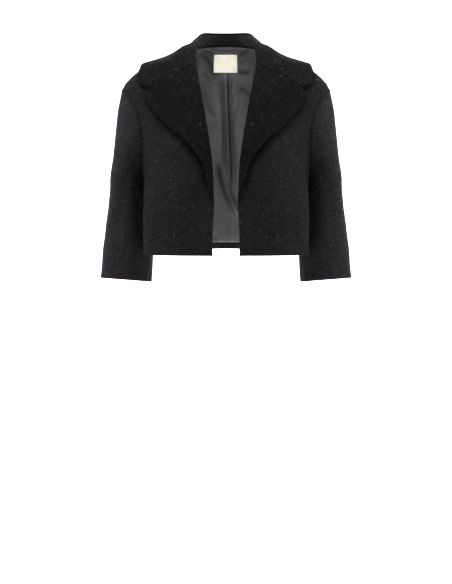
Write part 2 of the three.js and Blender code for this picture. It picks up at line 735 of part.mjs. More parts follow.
const brocade = new THREE.MeshStandardMaterial({ color: 0x1c1a1b, roughness: 0.85, metalness: 0 });
const satin = new THREE.MeshStandardMaterial({ color: 0x4a4a4c, roughness: 0.35, metalness: 0 });
const tape = new THREE.MeshStandardMaterial({ color: 0xf4f0e4, roughness: 0.7, metalness: 0 });
const jacket = new THREE.Group();

function addPiece(name, geometry, material) {
  const mesh = new THREE.Mesh(geometry, material);
  mesh.name = name;
  jacket.add(mesh);
}

// The directions square to the collar's joined edges: its roll's foot, and the gorge.
function collarNormal(i, k) {
  const column = Math.abs(i - collarColumns);
  const way = i < collarColumns ? -1 : 1;
  let found = null;
  if (column < gorgeColumn && k === 0) found = rollFrame(column / gorgeColumn).square;
  else if (column === gorgeColumn && k <= rollPoints) found = gorgeNormals[k];
  else if (column > gorgeColumn && k === rollPoints) found = gorgeNormals[k + column - gorgeColumn];
  return found && new THREE.Vector3(way * found.x, found.y, found.z);
}

function standNormal(i, k) {
  if (k < standRows) return null;
  const found = rollFrame(Math.abs(i - standColumns) / gorgeColumn).square;
  return new THREE.Vector3(i < standColumns ? -found.x : found.x, found.y, found.z);
}

const frontPanel = easeSeams(frontGrid, { last: true, end: true });
const backPanel = easeSeams(mirrored(backHalf), { last: true, start: true, end: true });
const turnedLapel = easeSeams(lapel, { first: true });
const turnedCollar = easeGorge(collarHalf);
const collarUsed = (i, k) => Math.abs(i - collarColumns) <= gorgeColumn || k >= rollPoints;
const onLapel = (i, j) => (i === 0 ? gorgeNormals[j] : null);
const folded = foldedWall / 2;
const sleeve = sleeveGrid();
for (const { side, mirror } of [
  { side: "left", mirror: false },
  { side: "right", mirror: true },
]) {
  addPiece(`front_${side}`, wallOf(frontPanel, 0, clothWall, { mirror, setNormal: bodyNormal }), brocade);
  addPiece(`lapel_${side}`, wallOf(turnedLapel, folded, folded, { mirror, setNormal: onLapel }), brocade);
  addPiece(`sleeve_${side}`, wallOf(sleeve, 0, clothWall, { closed: true, mirror }), brocade);
}
addPiece("back", wallOf(reversed(backPanel), 0, clothWall, { setNormal: bodyNormal }), brocade);
const collarWalls = { used: collarUsed, setNormal: collarNormal };
addPiece("collar_leaf", wallOf(bothSides(turnedCollar), folded, folded, collarWalls), brocade);
addPiece("collar_stand", wallOf(bothSides(standHalf()), folded, folded, { setNormal: standNormal }), brocade);
addPiece("lining_back", wallOf(reversed(liningGrid()), liningWall / 2, liningWall / 2), satin);
addPiece("label", wallOf(labelGrid(), labelWall / 2, labelWall / 2), tape);

export default jacket;
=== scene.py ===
import math

import bpy
import numpy as np
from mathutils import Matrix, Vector


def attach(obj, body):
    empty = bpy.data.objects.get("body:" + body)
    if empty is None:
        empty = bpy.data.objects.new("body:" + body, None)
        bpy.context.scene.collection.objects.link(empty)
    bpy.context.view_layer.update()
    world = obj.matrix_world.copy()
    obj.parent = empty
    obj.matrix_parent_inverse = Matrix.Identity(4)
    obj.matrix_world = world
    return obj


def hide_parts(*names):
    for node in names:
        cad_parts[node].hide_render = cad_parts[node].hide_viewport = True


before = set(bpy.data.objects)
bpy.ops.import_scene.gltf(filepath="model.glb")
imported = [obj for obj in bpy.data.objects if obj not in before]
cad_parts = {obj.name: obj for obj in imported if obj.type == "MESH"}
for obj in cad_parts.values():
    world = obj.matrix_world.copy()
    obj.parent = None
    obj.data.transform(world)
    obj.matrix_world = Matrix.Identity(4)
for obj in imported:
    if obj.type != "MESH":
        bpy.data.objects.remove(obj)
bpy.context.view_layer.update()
mm = 0.001
print("frame loaded")

# The jacket's form, in millimetres: the wearer faces -Y and their left is +X
body = {
    "sections": [  # z, half width, y of the side, front and back, squareness of front and back
        (-445, 169, -38, -103, 92, 2.6, 2.0),
        (-350, 169.5, -32, -110, 95, 2.5, 2.0),
        (-300, 170.5, -22, -114, 97, 2.4, 2.05),
        (-258, 173, -12, -115, 99, 2.3, 2.15),
        (-200, 183, -3, -112, 102, 2.2, 2.2),
        (-150, 197, 4, -102, 103, 2.1, 2.2),
        (-110, 208, 7, -91, 101, 2.05, 2.2),
        (-81, 213.5, 8, -81, 98, 2.0, 2.2),
        (-66, 203, 8, -74, 96, 2.0, 2.2),
        (-49, 184, 8, -66, 93.5, 2.0, 2.2),
        (-39, 168, 8, -60, 92, 2.0, 2.2),
        (-20, 121, 8, -38, 88, 2.0, 2.2),
        (0, 72, 8, -18, 83, 2.0, 2.2),
        (16, 60, 10, -16, 79, 2.0, 2.2),
        (50, 55, 12, -16, 72, 2.0, 2.2),
    ],
    "wall": 2.2,
    "seam": 0.3,
}
panel = {
    "hemSide": -429,
    "hemY": 4,
    "sideShares": [0, 0.18, 0.36, 0.53, 0.69, 0.85, 1],  # of the side seam's height, row by row
    "shoulder": [-81, -73, -64, -53, -40, -27, -13, 0],  # z of the shoulder seam, row by row
    "backHeights": [-415.5, -245, -45, 15],  # z at the centre back of the hem, armpit, tip and neck rows
    "armholeTop": -81,
    "armpit": -258,
    "middleY": 8,
    "armholeFront": 53,
    "armholeBack": 54,
    "armholePoint": 1.5,
    "gorge": -44,
    "frontLag": 1.6,
    "backLag": 1.8,
    "edge": [  # z, x of the front edge
        (-436, 26.9), (-400, 27.1), (-361, 25.3), (-338, 24.0), (-323.5, 23.7)],
    "roll": [(-319.5, 28.2), (-283, 29.5), (-242, 33.0), (-222, 35.9), (-169, 43.9), (-121, 52.4),
             (-76, 60.6), (-44, 65.2)],  # z, x of the lapel's roll line
    "heights": [(0, -435.6), (1, -398), (2, -361), (3, -323.5), (4, -319.5), (5, -289), (6, -258),
                (18, -60), (25, -44)],  # row, z at the front edge
    "break": -320.2,
    "fineRows": 6,
    "columns": 56,
}
armpitRow, tipRow, lastRow = 6, 18, 25


def mixed(a, b, t):
    return a + (b - a) * t


def ease(t):
    t = np.clip(t, 0, 1)
    return t * t * (3 - 2 * t)


# The weights of a curve's start, the way it leaves, its end and the way it arrives
def curveWeights(t):
    return 2 * t**3 - 3 * t**2 + 1, t**3 - 2 * t**2 + t, 3 * t**2 - 2 * t**3, t**3 - t**2


# A smooth value of a table's column, ordered by its first
def lookUp(table, column, at):
    rows = np.array(table, float)
    x, y = rows[:, 0], rows[:, column]
    slope = np.empty(len(x))
    slope[1:-1] = (y[2:] - y[:-2]) / (x[2:] - x[:-2])
    slope[0] = (y[1] - y[0]) / (x[1] - x[0])
    slope[-1] = (y[-1] - y[-2]) / (x[-1] - x[-2])
    at = np.asarray(at, float)
    i = np.clip(np.searchsorted(x, at) - 1, 0, len(x) - 2)
    span = x[i + 1] - x[i]
    start, leave, end, arrive = curveWeights(np.clip((at - x[i]) / span, 0, 1))
    return start * y[i] + leave * span * slope[i] + end * y[i + 1] + arrive * span * slope[i + 1]


def sectionAt(z):
    return [lookUp(body["sections"], column, z) for column in range(1, 7)]


# A point on the body: turn is 90 degrees at the front, 0 at the side and -90 at the back
def bodyPoint(z, turn):
    half, side, front, back, powerF, powerB = sectionAt(z)
    sine = np.sin(turn)
    power = np.where(sine >= 0, powerF, powerB)
    reach = np.where(sine >= 0, front - side, back - side)
    x = half * np.abs(np.cos(turn)) ** (2 / power)
    y = side + reach * np.abs(sine) ** (2 / power)
    return np.stack([x, y, np.broadcast_to(z, x.shape)], -1)


def turnAtX(z, x):
    half, side, front, back, powerF, powerB = sectionAt(z)
    return np.arccos(np.clip(x / half, 0, 1) ** (powerF / 2))


def turnAtY(z, y):
    half, side, front, back, powerF, powerB = sectionAt(z)
    ahead = np.arcsin(np.clip((side - y) / (side - front), 0, 1) ** (powerF / 2))
    behind = -np.arcsin(np.clip((y - side) / (back - side), 0, 1) ** (powerB / 2))
    return np.where(y < side, ahead, behind)


def outsideBody(p):
    half, side, front, back, powerF, powerB = sectionAt(p[..., 2])
    ahead = p[..., 1] < side
    power = np.where(ahead, powerF, powerB)
    reach = np.where(ahead, side - front, back - side)
    total = (np.abs(p[..., 0]) / half) ** power + (np.abs(p[..., 1] - side) / reach) ** power
    return total ** (1 / power) - 1


# The body's outward direction and the distance to it
def bodyNear(p):
    step = 0.5
    slope = np.stack([
        (outsideBody(p + step * axis) - outsideBody(p - step * axis)) / (2 * step)
        for axis in np.eye(3)
    ], -1)
    size = np.linalg.norm(slope, axis=-1)
    return slope / size[..., None], outsideBody(p) / size


def layOnBody(p, height, share=1.0):
    for _ in range(4):
        out, distance = bodyNear(p)
        p = p + out * (np.asarray((height - distance) * share))[..., None]
    return p


def evenly(points, count):
    gaps = np.linalg.norm(np.diff(points, axis=0), axis=1)
    along = np.concatenate([[0], np.cumsum(gaps)])
    at = np.linspace(0, along[-1], count + 1)
    return np.stack([np.interp(at, along, points[:, k]) for k in range(3)], 1)


# Points on a smooth curve through rows, at shares of its control points
def throughPoints(rows, t):
    rows = np.array(rows, float)
    rows = np.vstack([2 * rows[0] - rows[1], rows, 2 * rows[-1] - rows[-2]])
    at = np.clip(np.asarray(t, float), 0, 1) * (len(rows) - 3)
    i = np.minimum(at.astype(int), len(rows) - 4)
    w = (at - i)[..., None]
    p0, p1, p2, p3 = (rows[i + k] for k in range(4))
    d0, d1, d2 = (np.maximum(np.linalg.norm(b - a, axis=-1, keepdims=True), 1e-9) ** 0.5
                  for a, b in ((p0, p1), (p1, p2), (p2, p3)))
    m1 = ((p1 - p0) / d0 - (p2 - p0) / (d0 + d1) + (p2 - p1) / d1) * d1
    m2 = ((p2 - p1) / d1 - (p3 - p1) / (d1 + d2) + (p3 - p2) / d2) * d1
    start, leave, end, arrive = curveWeights(w)
    return start * p1 + leave * m1 + end * p2 + arrive * m2


# The same curve at shares of its length
def byLength(rows, t):
    fine = throughPoints(rows, np.linspace(0, 1, 800))
    along = np.concatenate([[0], np.cumsum(np.linalg.norm(np.diff(fine, axis=0), axis=1))])
    at = np.asarray(t) * along[-1]
    return np.stack([np.interp(at, along, fine[:, k]) for k in range(3)], -1)


# The panel's outer line at a row: side seam, armhole, then shoulder seam
def outlineAt(row, front):
    row = np.asarray(row, float)
    share = np.interp(row, range(armpitRow + 1), panel["sideShares"])
    sideZ = mixed(panel["hemSide"], panel["armpit"], share)
    climb = ease((sideZ - panel["hemSide"]) / (panel["armpit"] - panel["hemSide"]))
    sideY = mixed(panel["hemY"], panel["middleY"], climb)
    around = 0.5 - 0.5 * (np.clip(row, armpitRow, tipRow) - armpitRow) / 12
    holeZ, holeY = armholeAt(around if front else 1 - around)
    shoulderZ = np.interp(row, range(tipRow, lastRow + 1), panel["shoulder"])
    z = np.where(row <= armpitRow, sideZ, np.where(row <= tipRow, holeZ, shoulderZ))
    y = np.where(row <= armpitRow, sideY, np.where(row <= tipRow, holeY, panel["middleY"]))
    return z, y


# Height and depth round the armhole: 0 is its top, 0.5 the armpit, then up the back
def armholeAt(share):
    turn = share * 2 * math.pi
    middle = (panel["armholeTop"] + panel["armpit"]) / 2
    z = middle + (panel["armholeTop"] - panel["armpit"]) / 2 * np.cos(turn)
    reach = np.where(share <= 0.5, panel["armholeFront"], -panel["armholeBack"])
    power = np.where(z > middle, panel["armholePoint"], 1)
    return z, panel["middleY"] - reach * np.abs(np.sin(turn)) ** power


def bodyPath(z0, turn0, z1, y1, straight, lag):
    turn1 = turnAtY(z1, y1)
    x0 = bodyPoint(z0, turn0)[0]
    x1 = bodyPoint(z1, turn1)[0]
    t = 1 - (1 - np.linspace(0, 1, 121)) ** 2
    z = mixed(z0, z1, t**lag)
    turn = mixed(turn0, turn1, t)
    if straight > 0:
        turn = mixed(turn, turnAtX(z, mixed(x0, x1, t)), straight)
    return bodyPoint(z, turn)


def frontRow(row, columns):
    z = np.interp(row, *zip(*panel["heights"]))
    turn = turnAtX(z, lookUp(panel["edge" if z < panel["break"] else "roll"], 1, z))
    z1, y1 = outlineAt(row, True)
    return evenly(bodyPath(z, turn, z1, y1, ease((row - armpitRow) / 12), panel["frontLag"]), columns)


def backRow(row, columns, rise=0.0, drop=0.0, short=0.0):
    z1, y1 = outlineAt(row, False)
    z0 = np.interp(row, [0, armpitRow, tipRow, lastRow], panel["backHeights"]) + rise - drop
    path = bodyPath(z0, -math.pi / 2, z1 + rise - drop, y1, 0, panel["backLag"])
    if not short:
        return evenly(path, columns)
    fine = evenly(path, 400)
    length = np.linalg.norm(np.diff(path, axis=0), axis=1).sum()
    return evenly(fine[: int(round(400 * (1 - short / length))) + 1], columns)


# A half grid, its first column at the centre back, joined to its mirror image
def bothSides(grid):
    return np.concatenate([grid[:, :0:-1] * [-1, 1, 1], grid], 1)


def gridNormals(grid, closed):
    if closed:
        along = np.roll(grid, -1, 1) - np.roll(grid, 1, 1)
    else:
        along = np.gradient(grid, axis=1)
    found = np.cross(along, np.gradient(grid, axis=0))
    return found / np.maximum(np.linalg.norm(found, axis=-1, keepdims=True), 1e-9)


sewnStep = body["seam"] / 2 + 0.1  # how far a sewn side is drawn in from its neighbour


# Draws the first row of a grid in, square to that row
def drawIn(grid):
    along = np.gradient(grid[0], axis=0)
    along /= np.linalg.norm(along, axis=1, keepdims=True)
    way = grid[1] - grid[0]
    way -= along * (way * along).sum(1, keepdims=True)
    out = grid.copy()
    out[0] += sewnStep * way / np.linalg.norm(way, axis=1, keepdims=True)
    return out


# Folds in the cloth, each with its path in millimetres on the wearer's left, its width and its
# height: a height below 0 is a trough. Those of the wearer's right are the same with x turned over.
folds = {
    "sleeve": [
        ([(197, -22, -196), (200, -24, -250), (199, -25, -330), (200, -14, -400), (203, -9, -476)], 15, 3.2),
        ([(184, -33, -214), (186, -26, -262), (181, -15, -330), (176, -2, -420)], 12, -3.4),
        ([(182, -36, -236), (196, -34, -262), (214, -22, -292)], 9, -2.4),
        ([(180, -30, -262), (192, -32, -282), (204, -28, -300)], 8, 2.0),
        ([(208, -24, -322), (222, -16, -344), (236, -2, -360)], 11, -1.5),
        ([(196, -22, -372), (214, -14, -386), (232, 0, -392)], 10, 1.2),
        ([(232, 66, -214), (246, 54, -262), (250, 46, -318)], 15, -2.2),
        ([(214, 84, -240), (226, 88, -292), (230, 88, -352)], 13, 2.4),
        ([(190, 92, -262), (202, 94, -312), (208, 94, -372)], 11, -2.6),
        ([(166, 70, -286), (178, 84, -318), (196, 94, -338)], 9, -2.0),
        ([(168, 66, -330), (182, 84, -362), (202, 95, -376)], 10, 1.8),
        ([(160, 50, -350), (170, 72, -396), (190, 90, -414)], 11, -1.8),
        ([(256, 30, -330), (258, 34, -400), (262, 38, -470)], 16, 1.4),
        ([(226, -4, -160), (238, 8, -210), (246, 20, -262)], 16, -1.2),
    ],
    "front": [
        ([(166, -40, -262), (150, -74, -300), (128, -98, -352)], 15, -2.6),
        ([(160, -50, -236), (138, -84, -262), (112, -104, -300)], 13, 2.0),
        ([(158, -58, -214), (136, -90, -232), (118, -104, -250)], 10, -1.8),
        ([(92, -112, -292), (98, -110, -352), (102, -104, -430)], 18, 1.9),
        ([(134, -90, -340), (138, -84, -386), (140, -80, -432)], 16, -2.0),
        ([(56, -112, -330), (58, -110, -380), (60, -104, -434)], 13, -1.5),
        ([(150, -50, -180), (140, -78, -200), (126, -94, -214)], 9, 1.5),
        ([(168, -40, -330), (164, -48, -386), (162, -52, -428)], 13, 1.5),
    ],
    "back": [
        ([(172, 40, -252), (140, 78, -282), (96, 94, -322)], 15, -2.8),
        ([(170, 50, -226), (128, 86, -250), (78, 98, -276)], 13, 2.2),
        ([(174, 52, -196), (140, 82, -208), (104, 94, -222)], 10, -1.8),
        ([(64, 98, -286), (60, 97, -350), (58, 95, -414)], 20, 2.0),
        ([(112, 84, -306), (110, 80, -366), (108, 78, -418)], 17, -2.2),
        ([(150, 56, -300), (150, 52, -360), (148, 48, -424)], 14, 1.8),
        ([(20, 101, -128), (44, 100, -150), (88, 96, -166)], 16, -1.5),
        ([(12, 98, -330), (14, 97, -372), (15, 95, -414)], 14, -1.4),
    ],
    "lapel": [
        ([(70, -70, -74), (96, -76, -104), (126, -72, -122)], 16, -0.9),
        ([(56, -100, -150), (76, -98, -172), (92, -94, -186)], 14, 0.9),
        ([(44, -112, -214), (52, -110, -236), (52, -108, -252)], 10, -0.8),
    ],
    "collar": [
        ([(64, 30, 24), (96, 34, 0), (136, 30, -20)], 16, -1.1),
        ([(70, -18, -6), (104, -26, -26), (146, -30, -44)], 15, 1.1),
        ([(46, 74, 24), (60, 92, -12), (72, 98, -48)], 15, -1.3),
        ([(20, 84, 22), (26, 98, -12), (30, 102, -50)], 15, 1.1),
    ],
}


# Each point's distance to a path, and how far along the path its nearest place is
def stretchTo(points, path):
    path = byLength(path, np.linspace(0, 1, 33))
    away = np.full(points.shape[:-1], 1e9)
    share = np.zeros(points.shape[:-1])
    for k in range(len(path) - 1):
        run = path[k + 1] - path[k]
        t = np.clip(((points - path[k]) @ run) / (run @ run), 0, 1)
        far = np.linalg.norm(points - path[k] - t[..., None] * run, axis=-1)
        nearer = far < away
        away = np.where(nearer, far, away)
        share = np.where(nearer, (k + t) / (len(path) - 1), share)
    return away, share


# The height of a table of folds over a grid: soft along each path, and running out at its ends
def foldHeights(points, table):
    height = np.zeros(points.shape[:-1])
    for path, width, rise in table:
        away, share = stretchTo(points, path)
        ends = ease(share / 0.3) * ease((1 - share) / 0.3)
        height += rise * (0.15 + 0.85 * ends) * np.exp(-((away / width) ** 2))
    return height


# A slow unevenness, about 1 high, over a length of about size
def ripple(points, size, seed):
    x, y, z = (points[..., k] / size for k in range(3))
    return (np.sin(2.1 * x + 1.3 * z + seed) * np.cos(1.7 * y - 1.1 * x + 2 * seed)
            + 0.6 * np.sin(3.3 * z - 1.9 * y + 3 * seed) * np.cos(2.7 * x + 0.7 * z)
            + 0.35 * np.sin(5.1 * x + 4.3 * y - 3.7 * z + seed)) / 1.5


# The same points with x made alike on both sides, smoothly across the middle
def evenX(points):
    out = points.copy()
    out[..., 0] = np.sqrt(points[..., 0] ** 2 + 900)
    return out


# The same points, with those of the wearer's right moved over to the left
def onLeft(points):
    out = points.copy()
    out[..., 0] = np.abs(points[..., 0])
    return out


# The slow unevenness of the whole body, which fades in below the neck
wave = {"size": 62, "seed": 0.7, "height": 0.8, "from": 30, "over": 60}


def waveHeight(points):
    return ripple(evenX(points), wave["size"], wave["seed"]) * wave["height"]


def belowNeck(points):
    return ease((-points[..., 2] - wave["from"]) / wave["over"])


# The lapel: its roll at the front edge, then a layer that lies on the front
turned = {
    "wall": 2.4,
    "rollRadius": 3.6,
    "rollSteps": 12,
    "flat": 1.3 + 2.4 / 2,  # from the front's face to the middle of the lapel
    "edgeLift": 4.6,
    "settle": 16,  # how far from the roll the cloth comes to lie flat
}
lapelShape = {
    "break": -321.4,
    "gorge": [(65.2, 0, -44), (84, 0, -54), (103, 0, -61.5), (120, 0, -68), (136, 0, -77), (149, 0, -90)],
    "point": (165, 0, -105.5),
    "edge": [(165, 0, -105.5), (148.5, 0, -131), (127, 0, -157.5), (103.8, 0, -181), (79.5, 0, -203),
             (64, 0, -220.5), (50, 0, -240), (42, 0, -261), (35.6, 0, -289), (31.4, 0, -321.4)],
    "breakRadius": 1.9,
    "margin": 14,  # how far past its edge the front's own folds stay out
    "foot": -330,
    "rows": 96,
    "columns": 48,  # a multiple of 8: the notch is at seven eighths
}


def layHeight(distance, radius, share):
    start = 2 * radius - body["wall"] / 2
    lift = turned["edgeLift"] * np.clip(share, 0, 1) ** 3
    return turned["flat"] + np.maximum(0, start - turned["flat"]) * np.exp(-distance / turned["settle"]) + lift


# The gorge seam out to the notch, then on to the lapel's point
def lapelTop(u):
    u = np.asarray(u, float)
    seam = byLength(lapelShape["gorge"], np.clip(u * 8 / 7, 0, 1))
    point = np.array(lapelShape["point"], float)
    return mixed(seam, point, np.clip(u * 8 - 7, 0, 1)[..., None])


def makeLapel():
    rows, columns, steps = lapelShape["rows"], lapelShape["columns"], turned["rollSteps"]
    u = np.arange(1, columns + 1) / columns
    top = lapelTop(u)
    chord = mixed(lapelTop(0), lapelTop(1), u[:, None])
    turn = np.linspace(0, math.pi, steps + 1)[:, None]
    grid = []
    for v in np.linspace(0, 1, rows + 1):
        z = mixed(panel["gorge"], lapelShape["break"], v)
        rollX = float(lookUp(panel["roll"], 1, z))
        end = byLength(lapelShape["edge"], v)
        radius = mixed(turned["rollRadius"], lapelShape["breakRadius"], ease((v - 0.55) / 0.45))
        surface = bodyPoint(z, turnAtX(z, rollX))
        out = bodyNear(surface)[0]
        base = surface - out * body["wall"] / 2 - [body["seam"] + 0.7, 0, 0]
        centre = base + out * radius
        roll = centre - out * radius * np.cos(turn) - np.array([1, 0, 0]) * radius * np.sin(turn)
        p = mixed(np.array([rollX, 0, z]), end, u[:, None]) + (top - chord) * (1 - v) ** 2.5
        on = bodyPoint(p[:, 2], turnAtX(p[:, 2], p[:, 0]))
        laid = layOnBody(on, layHeight(np.abs(p[:, 0] - rollX), radius, u))
        grid.append(np.vstack([roll, laid]))
    return np.array(grid)


lapel = makeLapel()


# Directions square to the gorge seam, which lapel and collar share
def gorgeDirections(row):
    steps = turned["rollSteps"]
    out = bodyNear(row)[0]
    around = row[: steps + 1] - (row[0] + row[steps]) / 2
    out[: steps + 1] = around / np.linalg.norm(around, axis=1, keepdims=True)
    return out


gorgeOut = gorgeDirections(lapel[0])

# The collar: its roll round the neck, the layer that falls from it, and the part past the gorge
collar = {
    "roll": [(0, 72, 42), (26, 69.5, 42), (45, 58, 40.5), (53.5, 38, 34.5), (56.5, 12, 22),
             (59.5, -13, 8), (61.5, -38, -13), (61.6, -61, -44)],
    "out": [(0, 1, 0), (0.3, 0.95, 0), (0.75, 0.65, 0), (0.97, 0.2, 0), (1, 0, 0.1),
            (0.95, -0.2, 0.25), (0.65, -0.6, 0.45), (0.3, -0.85, 0.45)],
    "edge": [(0, 104, -55), (62, 102, -54), (116, 93, -51), (152, 60, -43), (166, 18, -35),
             (173, -8, -37), (179, -22, -43), (184, -33, -50), (186.5, -38, -56), (187, -42, -61),
             (186, -45, -66), (184, -47, -71), (179.5, -50, -75.5)],
    "sink": 0.35,  # how the fall leaves the roll: down and outward, and how far that reaches
    "run": 0.65,
    "bend": 0.35,
    "fullness": 8,
    "fullAt": 32,
    "fullOver": 25,
    "notchLift": 3.2,
    "columns": 11,  # from the centre back to the gorge, then 7 more to the notch
    "fine": 6,
    "fallSteps": 36,
}


# The seam at the neck from the centre back to the front edge
def neckSeam(share):
    line = np.vstack([backRow(lastRow, 60), frontRow(lastRow, 60)[::-1][1:]])
    along = np.concatenate([[0], np.cumsum(np.linalg.norm(np.diff(line, axis=0), axis=1))])
    return np.array([np.interp(share * along[-1], along, line[:, k]) for k in range(3)])


# The collar's roll at a share of its way: centre, out, rise, and the stand's foot and start
def rollFrame(share):
    crest = throughPoints(collar["roll"], share)
    ahead, behind = min(1, share + 1e-3), max(0, share - 1e-3)
    run = throughPoints(collar["roll"], ahead) - throughPoints(collar["roll"], behind)
    run /= np.linalg.norm(run)
    out = throughPoints(collar["out"], share)
    out = out - run * (out @ run)
    out /= np.linalg.norm(out)
    rise = np.cross(run, out)
    rise /= np.linalg.norm(rise)
    centre = crest - rise * (turned["rollRadius"] + turned["wall"] / 2)
    start = centre - out * turned["rollRadius"]
    seam = neckSeam(share)
    foot = seam - bodyNear(seam)[0] * body["wall"] / 2
    climb = (start - foot) / np.linalg.norm(start - foot)
    along = climb + rise
    along /= np.linalg.norm(along)
    square = out - along * (out @ along)
    return {"centre": centre, "out": out, "rise": rise, "foot": foot, "start": start,
            "climb": climb, "square": square / np.linalg.norm(square)}


def rollRing(shape, turn):
    return (shape["centre"] + shape["out"] * turned["rollRadius"] * np.cos(turn)
            + shape["rise"] * turned["rollRadius"] * np.sin(turn))


# The fall from the roll's outer side to the collar's edge
def fallTo(start, end, rise, share):
    u = np.arange(1, collar["fallSteps"] + 1)[:, None] / collar["fallSteps"]
    span = np.linalg.norm(end - start)
    first = -collar["sink"] * rise + collar["run"] * (end - start) / span
    bend = start + first / np.linalg.norm(first) * span * collar["bend"]
    p = start * (1 - u) ** 2 + bend * 2 * u * (1 - u) + end * u**2
    u = u[:, 0]
    height = layHeight(span * u, turned["rollRadius"] + 2.5 * (1 - share), u)
    p = layOnBody(p, height, ease((u - 0.02) / 0.5))
    full = collar["fullness"] * ease(share / 0.4) * ease((1 - share) / 0.3)
    full = full * np.exp(-(((span * u - collar["fullAt"]) / collar["fullOver"]) ** 2))
    return p + bodyNear(p)[0] * full[:, None]


# The layer from the gorge to the collar's edge
def flatTo(start, end):
    u = np.arange(1, collar["fallSteps"] + 1) / collar["fallSteps"]
    p = mixed(start, end, u[:, None])
    height = mixed(bodyNear(start)[1], turned["flat"] + turned["edgeLift"] * u**3, ease(3 * u))
    return layOnBody(p, height)


# Rows from the centre back to the notch; each runs over the roll and down to the edge
def makeCollarHalf():
    steps = turned["rollSteps"]
    turn = np.linspace(math.pi, 0, steps + 1)[:, None]
    gorge = lapel[0]
    lastRoll = rollRing(rollFrame(1), turn)
    count = collar["columns"]
    grid = []
    for c in np.linspace(0, count + 7, (count + 7) * collar["fine"] + 1):
        share = min(1, c / count)
        past = max(0, c - count)
        shape = rollFrame(share)
        roll = rollRing(shape, turn) + (gorge[: steps + 1] - lastRoll) * ease(c - count + 1)
        edgeAt = share * 7 if past == 0 else 7 + 5 * past / 7
        end = throughPoints(collar["edge"], edgeAt / 12)
        end = layOnBody(end, np.array(turned["flat"] + turned["edgeLift"]))
        if past == 0:
            grid.append(np.vstack([roll, fallTo(roll[-1], end, shape["rise"], share)]))
            continue
        at = past / 8 * lapelShape["columns"] + steps
        low = int(at)
        start = mixed(gorge[low], gorge[min(low + 1, len(gorge) - 1)], at - low)
        fall = mixed(fallTo(start, end, shape["rise"], 1), flatTo(start, end), ease(past))
        off = collar["notchLift"] * ease((past - 4.5) / 2.5)
        across = np.arange(1, collar["fallSteps"] + 1) / collar["fallSteps"]
        fall = fall + bodyNear(fall)[0] * (off * ease(across * 3) * (1 - across**3))[:, None]
        grid.append(np.vstack([np.repeat(start[None], steps + 1, 0), fall]))
    return np.array(grid)


collarHalf = makeCollarHalf()
gorgeColumn = collar["columns"] * collar["fine"]
collarColumns = len(collarHalf) - 1
print("lapels and collar laid out")

# The sleeve: its head from the armhole, then rings down to the cuff
sleeve = {
    "rings": [  # z, x, y, half sizes across and front to back, tilt and yaw in degrees
        (-278, 204.4, 24, 36.6, 58, 8, 13), (-305, 203, 30, 40.5, 57.5, 7.5, 12),
        (-332, 202.4, 34.5, 44.2, 56.5, 7, 10), (-372, 202.7, 39, 49.4, 55, 6.5, 7),
        (-410, 204.2, 42, 52, 54, 6, 4), (-448, 206.9, 43, 53.7, 53, 5.5, 2),
        (-482.5, 210.4, 42, 54.2, 52, 4.5, 0),
    ],
    "head": [  # turn, the way it leaves the armhole, and how far that reaches
        (0, 0.74, 0, -0.67, 44), (90, 0.76, -0.3, -0.57, 56), (180, 0.35, 0.15, -0.92, 22),
        (270, 0.76, 0.3, -0.57, 56), (360, 0.74, 0, -0.67, 44),
    ],
    "tuck": 3.0,  # how far the head runs in under the body's cloth, and how deep
    "sink": 1.5,
    "fall": [0.1, 0.05, -1],  # the way the head arrives at the first ring, and how far that reaches
    "fallReach": 0.8,
    "ownFolds": 42,  # from the seam, where the body's folds have faded out
    "wave": {"size": 44, "seed": 1.9, "height": 0.9},
    "seamDip": (1.7, 3.2),
    "puff": {"height": 1.2, "at": 9, "over": 5},  # the ease of the head beside its seam
    "headStrip": 12,
    "cuffStrip": 24,
    "around": 120,
    "headRows": 60,
    "lowRows": 84,
}


def sleeveRing(z, share):
    table = sorted(sleeve["rings"])
    x, y, across, deep, tilt, yaw = (float(lookUp(table, k, z)) for k in range(1, 7))
    tilt, yaw = math.radians(tilt), math.radians(yaw)
    turn = share * 2 * math.pi
    side = across * np.cos(turn)
    forward = deep * np.sin(turn)
    outX = side * math.cos(yaw) + forward * math.sin(yaw)
    outY = side * math.sin(yaw) - forward * math.cos(yaw)
    return np.stack([x + outX * math.cos(tilt), y + outY, z + outX * math.sin(tilt)], 1)


def makeSleeve():
    share = np.arange(sleeve["around"]) / sleeve["around"]
    z, y = armholeAt(share)
    a = bodyPoint(z, turnAtY(z, y))
    b = sleeveRing(sleeve["rings"][0][0], share)
    leave = np.stack([lookUp(sleeve["head"], k, share * 360) for k in (1, 2, 3)], 1)
    leave /= np.linalg.norm(leave, axis=1, keepdims=True)
    reach = lookUp(sleeve["head"], 4, share * 360)[:, None]
    down = np.array(sleeve["fall"]) * np.linalg.norm(a - b, axis=1, keepdims=True) * sleeve["fallReach"]
    out = bodyNear(a)[0]
    under = np.cross(np.roll(a, -1, 0) - np.roll(a, 1, 0), out)
    under /= np.linalg.norm(under, axis=1, keepdims=True)
    under *= np.sign((under * (a - a.mean(0))).sum(1, keepdims=True))
    under = under * sleeve["tuck"] - out * sleeve["sink"]
    grid = []
    for t in np.linspace(0, 1, sleeve["headRows"] + 1):
        start, leaving, end, arriving = curveWeights(t)
        p = a * start + leave * reach * leaving + b * end + down * arriving
        grid.append(p + under * max(0, 1 - 10 * t))
    for z in np.linspace(sleeve["rings"][0][0], sleeve["rings"][-1][0], sleeve["lowRows"] + 1)[1:]:
        grid.append(sleeveRing(z, share))
    return np.array(grid)


